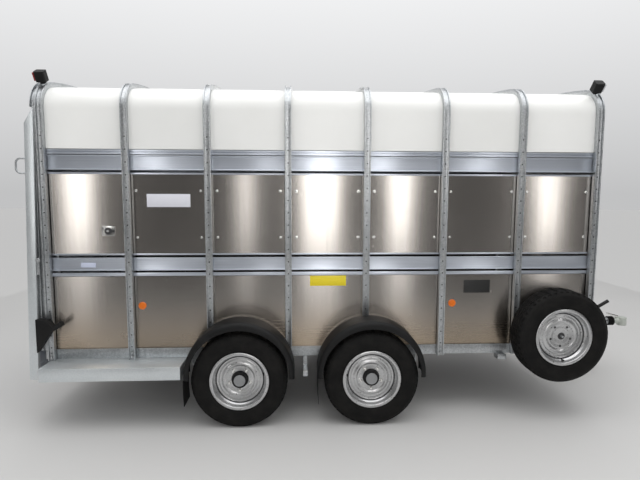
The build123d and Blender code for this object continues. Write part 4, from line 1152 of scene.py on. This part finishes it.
class TRAILER_OT_coupling(bpy.types.Operator):
    """Overrun housing, draw tube, gaiter, ball head, handle and handbrake"""

    bl_idname = "trailer.coupling"
    bl_label = "Coupling and handbrake"

    def execute(self, context):
        refined("overrun_housing", 0.005, 3)
        refined("draw_tube", 0.001)
        refined("coupling_head", 0.0015)
        refined("coupling_handle", 0.003, 3)
        self.gaiter()
        self.handbrake()
        return {"FINISHED"}

    def gaiter(self):
        """Rubber bellows over the draw tube."""
        low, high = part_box("gaiter")
        centre = Vector((low.x, 0, (low.z + high.z) / 2))
        outer, folds = (high.z - low.z) / 2, 5
        length = high.x - low.x
        profile = [(0, outer - 0.014)]
        for number in range(folds * 6 + 1):
            share = number / (folds * 6)
            wave = 0.5 - 0.5 * cos(2 * pi * folds * share)
            profile.append((share * length, outer - 0.0085 + 0.0085 * wave))
        profile.append((length, outer - 0.014))
        turned("bellows_gaiter", profile, centre, (1, 0, 0), 48, "black_rubber", "coupling", ("gaiter",),
               True, 70)

    def handbrake(self):
        """Lever and its ribbed grip."""
        refined("handbrake_lever", 0.0025, 3)
        low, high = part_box("handbrake_lever")
        tilt = radians(30)
        along = Vector((cos(tilt), 0, sin(tilt)))
        end = Vector((high.x - 0.008, (low.y + high.y) / 2, high.z - 0.014))
        ridges = [(0, 0.0), (0, 0.0165)]
        for number in range(9):
            start = 0.006 + number * 0.0125
            ridges += [(start, 0.0165), (start + 0.0015, 0.0158), (start + 0.004, 0.0158),
                       (start + 0.0055, 0.0165)]
        ridges += [(0.122, 0.0165), (0.122, 0.0)]
        bm = bmesh.new()
        lathe(bm, ridges, end, -along, 32, along.orthogonal().normalized())
        publish("handbrake_grip", bm, "black_rubber", "handbrake")


class TRAILER_OT_jockey(bpy.types.Operator):
    """Jockey wheel: outer tube, leg, fork, wheel and crank"""

    bl_idname = "trailer.jockey"
    bl_label = "Jockey wheel"

    def execute(self, context):
        for part, radius in (("tube", 0.0012), ("leg", 0.0008), ("fork", 0.0015), ("crank", 0.002)):
            refined(f"jockey_{part}", radius)
        low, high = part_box("jockey_wheel")
        centre = (low + high) / 2
        radius = (high.z - low.z) / 2
        half = (high.y - low.y) / 2
        profile = [(-half, 0.0085), (-half, 0.022), (-half + 0.010, 0.026), (-half + 0.010, radius - 0.036),
                   (-half + 0.002, radius - 0.030), (-half, radius - 0.012), (-half + 0.006, radius - 0.003),
                   (-half + 0.014, radius)]
        profile += [(-along, reach) for along, reach in reversed(profile)]
        turned("jockey_tyre", profile, centre, (0, 1, 0), 56, "black_rubber", "jockey_wheel",
               ("jockey_wheel",), True, 30)
        return {"FINISHED"}


# ---- Studio ----
CAMERA_PLACE = (-0.648, -4.562, 1.781)
CAMERA_HEADING = 0.0505
CAMERA_PITCH = -0.0993
CAMERA_ROLL = 0.0032
CAMERA_LENS = 26.44
SENSOR_WIDTH = 36.0


class TRAILER_OT_stage(bpy.types.Operator):
    """Pale floor, soft studio light and the camera"""

    bl_idname = "trailer.stage"
    bl_label = "Studio"

    def execute(self, context):
        settings = context.scene.trailer.studio
        context.scene.view_settings.view_transform = "Standard"
        self.floor(settings)
        self.lights(settings)
        self.surroundings(context.scene)
        self.camera(context.scene)
        return {"FINISHED"}

    def floor(self, settings):
        """A wide pale disc."""
        bm = bmesh.new()
        bmesh.ops.create_circle(bm, cap_ends=True, segments=64, radius=60.0)
        graph = Finish("studio_floor")
        tone = graph.noise(0.5, 3.0)
        pale = (*settings.floor_colour, 1.0)
        worn = (*(0.96 * part for part in settings.floor_colour), 1.0)
        floor = placed("studio_floor", bm, graph.surface(graph.mix(tone, worn, pale), 0.55 + tone * 0.1))

    def lights(self, settings):
        """One large overhead light, and cards round the studio for the metal to reflect."""
        data = bpy.data.lights.new("top_light", "AREA")
        data.shape = "RECTANGLE"
        data.size, data.size_y = 8.0, 5.0
        data.energy = settings.top_power
        light = bpy.data.objects.new("top_light", data)
        light.location = (0.0, -1.5, 6.0)
        light.visible_camera = False
        bpy.context.scene.collection.objects.link(light)
        tone, bright = settings.card_tone, settings.streak_tone
        dark = self.glow("dark_card", tone)
        side_streaks = ((-3.52, 0.34, 1.0), (-1.33, 0.20, 0.6), (-0.32, 0.50, 1.0), (0.76, 0.30, 1.0),
                        (2.81, 0.30, 1.0))
        end_streaks = ((-0.9, 0.3, 0.5), (0.5, 0.5, 0.8))
        levels = ((1.30, 3.9, 1.0), (0.95, 1.30, 0.5), (0.45, 0.95, 0.28), (0.02, 0.45, 0.16))
        glows = {}
        for number, (reach, streaks) in enumerate(((3.6, side_streaks), (5.6, end_streaks)) * 2):
            aim = Matrix.Rotation(number * pi / 2, 4, "Z")
            self.card(f"dark_card_{number}", aim, (0, reach, 2.0), (14.0, 4.0), dark)
            for order, (place, width, share) in enumerate(streaks):
                x = -place if number == 2 else place
                for low, high, level in levels:
                    strength = round(share * level * bright, 3)
                    if strength not in glows:
                        glows[strength] = self.glow(f"streak_{len(glows)}", strength)
                    centre = (x, reach - 0.05, (low + high) / 2)
                    self.card(f"streak_{number}_{order}_{low:.2f}", aim, centre, (width, high - low),
                              glows[strength])

    def glow(self, name, strength):
        """A material that only gives light."""
        graph = Finish(name)
        settings = {"Emission_Color": rgb(1.0, 0.985, 0.97), "Emission_Strength": strength,
                    "Specular_IOR_Level": 0.0}
        return graph.surface(rgb(0.0, 0.0, 0.0), 1.0, **settings)

    def card(self, name, aim, place, size, material):
        """An upright card that only shows up in reflections."""
        bm = bmesh.new()
        low = Vector((place[0] - size[0] / 2, place[1], place[2] - size[1] / 2))
        high = Vector((place[0] + size[0] / 2, place[1] + 0.01, place[2] + size[1] / 2))
        block(bm, low, high)
        bmesh.ops.transform(bm, matrix=aim, verts=bm.verts)
        made = placed(name, bm, material)
        for ray in ("camera", "diffuse", "shadow", "transmission"):
            setattr(made, f"visible_{ray}", False)

    def surroundings(self, scene):
        """A pale room that brightens upwards from the floor's own tone."""
        world = bpy.data.worlds.new("studio_room")
        world.use_nodes = True
        scene.world = world
        tree = world.node_tree
        tree.nodes.clear()
        kinds = ("TexCoord", "SeparateXYZ", "MapRange", "Background", "OutputWorld")
        coordinates, split, level, room, output = (tree.nodes.new(f"ShaderNode{kind}") for kind in kinds)
        for name, value in (("From Min", 0.0), ("From Max", 0.36), ("To Min", 0.54), ("To Max", 0.88)):
            level.inputs[name].default_value = value
        room.inputs["Color"].default_value = rgb(0.985, 0.99, 1.0)
        for start, end in ((coordinates.outputs["Generated"], split.inputs[0]),
                           (split.outputs["Z"], level.inputs[0]), (level.outputs[0], room.inputs["Strength"]),
                           (room.outputs[0], output.inputs["Surface"])):
            tree.links.new(start, end)

    def camera(self, scene):
        """The camera at its standing place."""
        data = bpy.data.cameras.new("studio_camera")
        data.lens = CAMERA_LENS
        data.sensor_width = SENSOR_WIDTH
        camera = bpy.data.objects.new("studio_camera", data)
        scene.collection.objects.link(camera)
        aim = Matrix.Rotation(-CAMERA_HEADING, 4, "Z") @ Matrix.Rotation(pi / 2 + CAMERA_PITCH, 4, "X")
        camera.matrix_world = Matrix.Translation(CAMERA_PLACE) @ aim @ Matrix.Rotation(CAMERA_ROLL, 4, "Z")
        scene.camera = camera


OPERATORS = (
    TRAILER_OT_hoops, TRAILER_OT_roof, TRAILER_OT_sides, TRAILER_OT_side_fittings, TRAILER_OT_rear,
    TRAILER_OT_ramp,
    TRAILER_OT_wheels, TRAILER_OT_spare, TRAILER_OT_mudguards, TRAILER_OT_chassis, TRAILER_OT_coupling,
    TRAILER_OT_jockey, TRAILER_OT_stage,
)


class TRAILER_PT_pieces(bpy.types.Panel):
    """Buttons for every group of pieces"""

    bl_idname = "TRAILER_PT_pieces"
    bl_label = "Livestock Trailer"
    bl_space_type = "VIEW_3D"
    bl_region_type = "UI"
    bl_category = "Trailer"

    def draw(self, context):
        settings = context.scene.trailer
        for group in (settings.hoops, settings.sheets, settings.tyres, settings.studio):
            column = self.layout.column(align=True)
            for name in group.bl_rna.properties.keys():
                if name not in {"rna_type", "name"}:
                    column.prop(group, name)
        for operator in OPERATORS:
            self.layout.operator(operator.bl_idname)


CLASSES = (HoopSettings, SheetSettings, TyreSettings, StudioSettings, TrailerSettings, *OPERATORS,
           TRAILER_PT_pieces)


def register():
    for entry in CLASSES:
        bpy.utils.register_class(entry)
    bpy.types.Scene.trailer = bpy.props.PointerProperty(type=TrailerSettings)


def unregister():
    del bpy.types.Scene.trailer
    for entry in reversed(CLASSES):
        bpy.utils.unregister_class(entry)


def main():
    register()
    for operator in OPERATORS:
        group, name = operator.bl_idname.split(".")
        getattr(getattr(bpy.ops, group), name)()


if __name__ == "__main__":
    main()
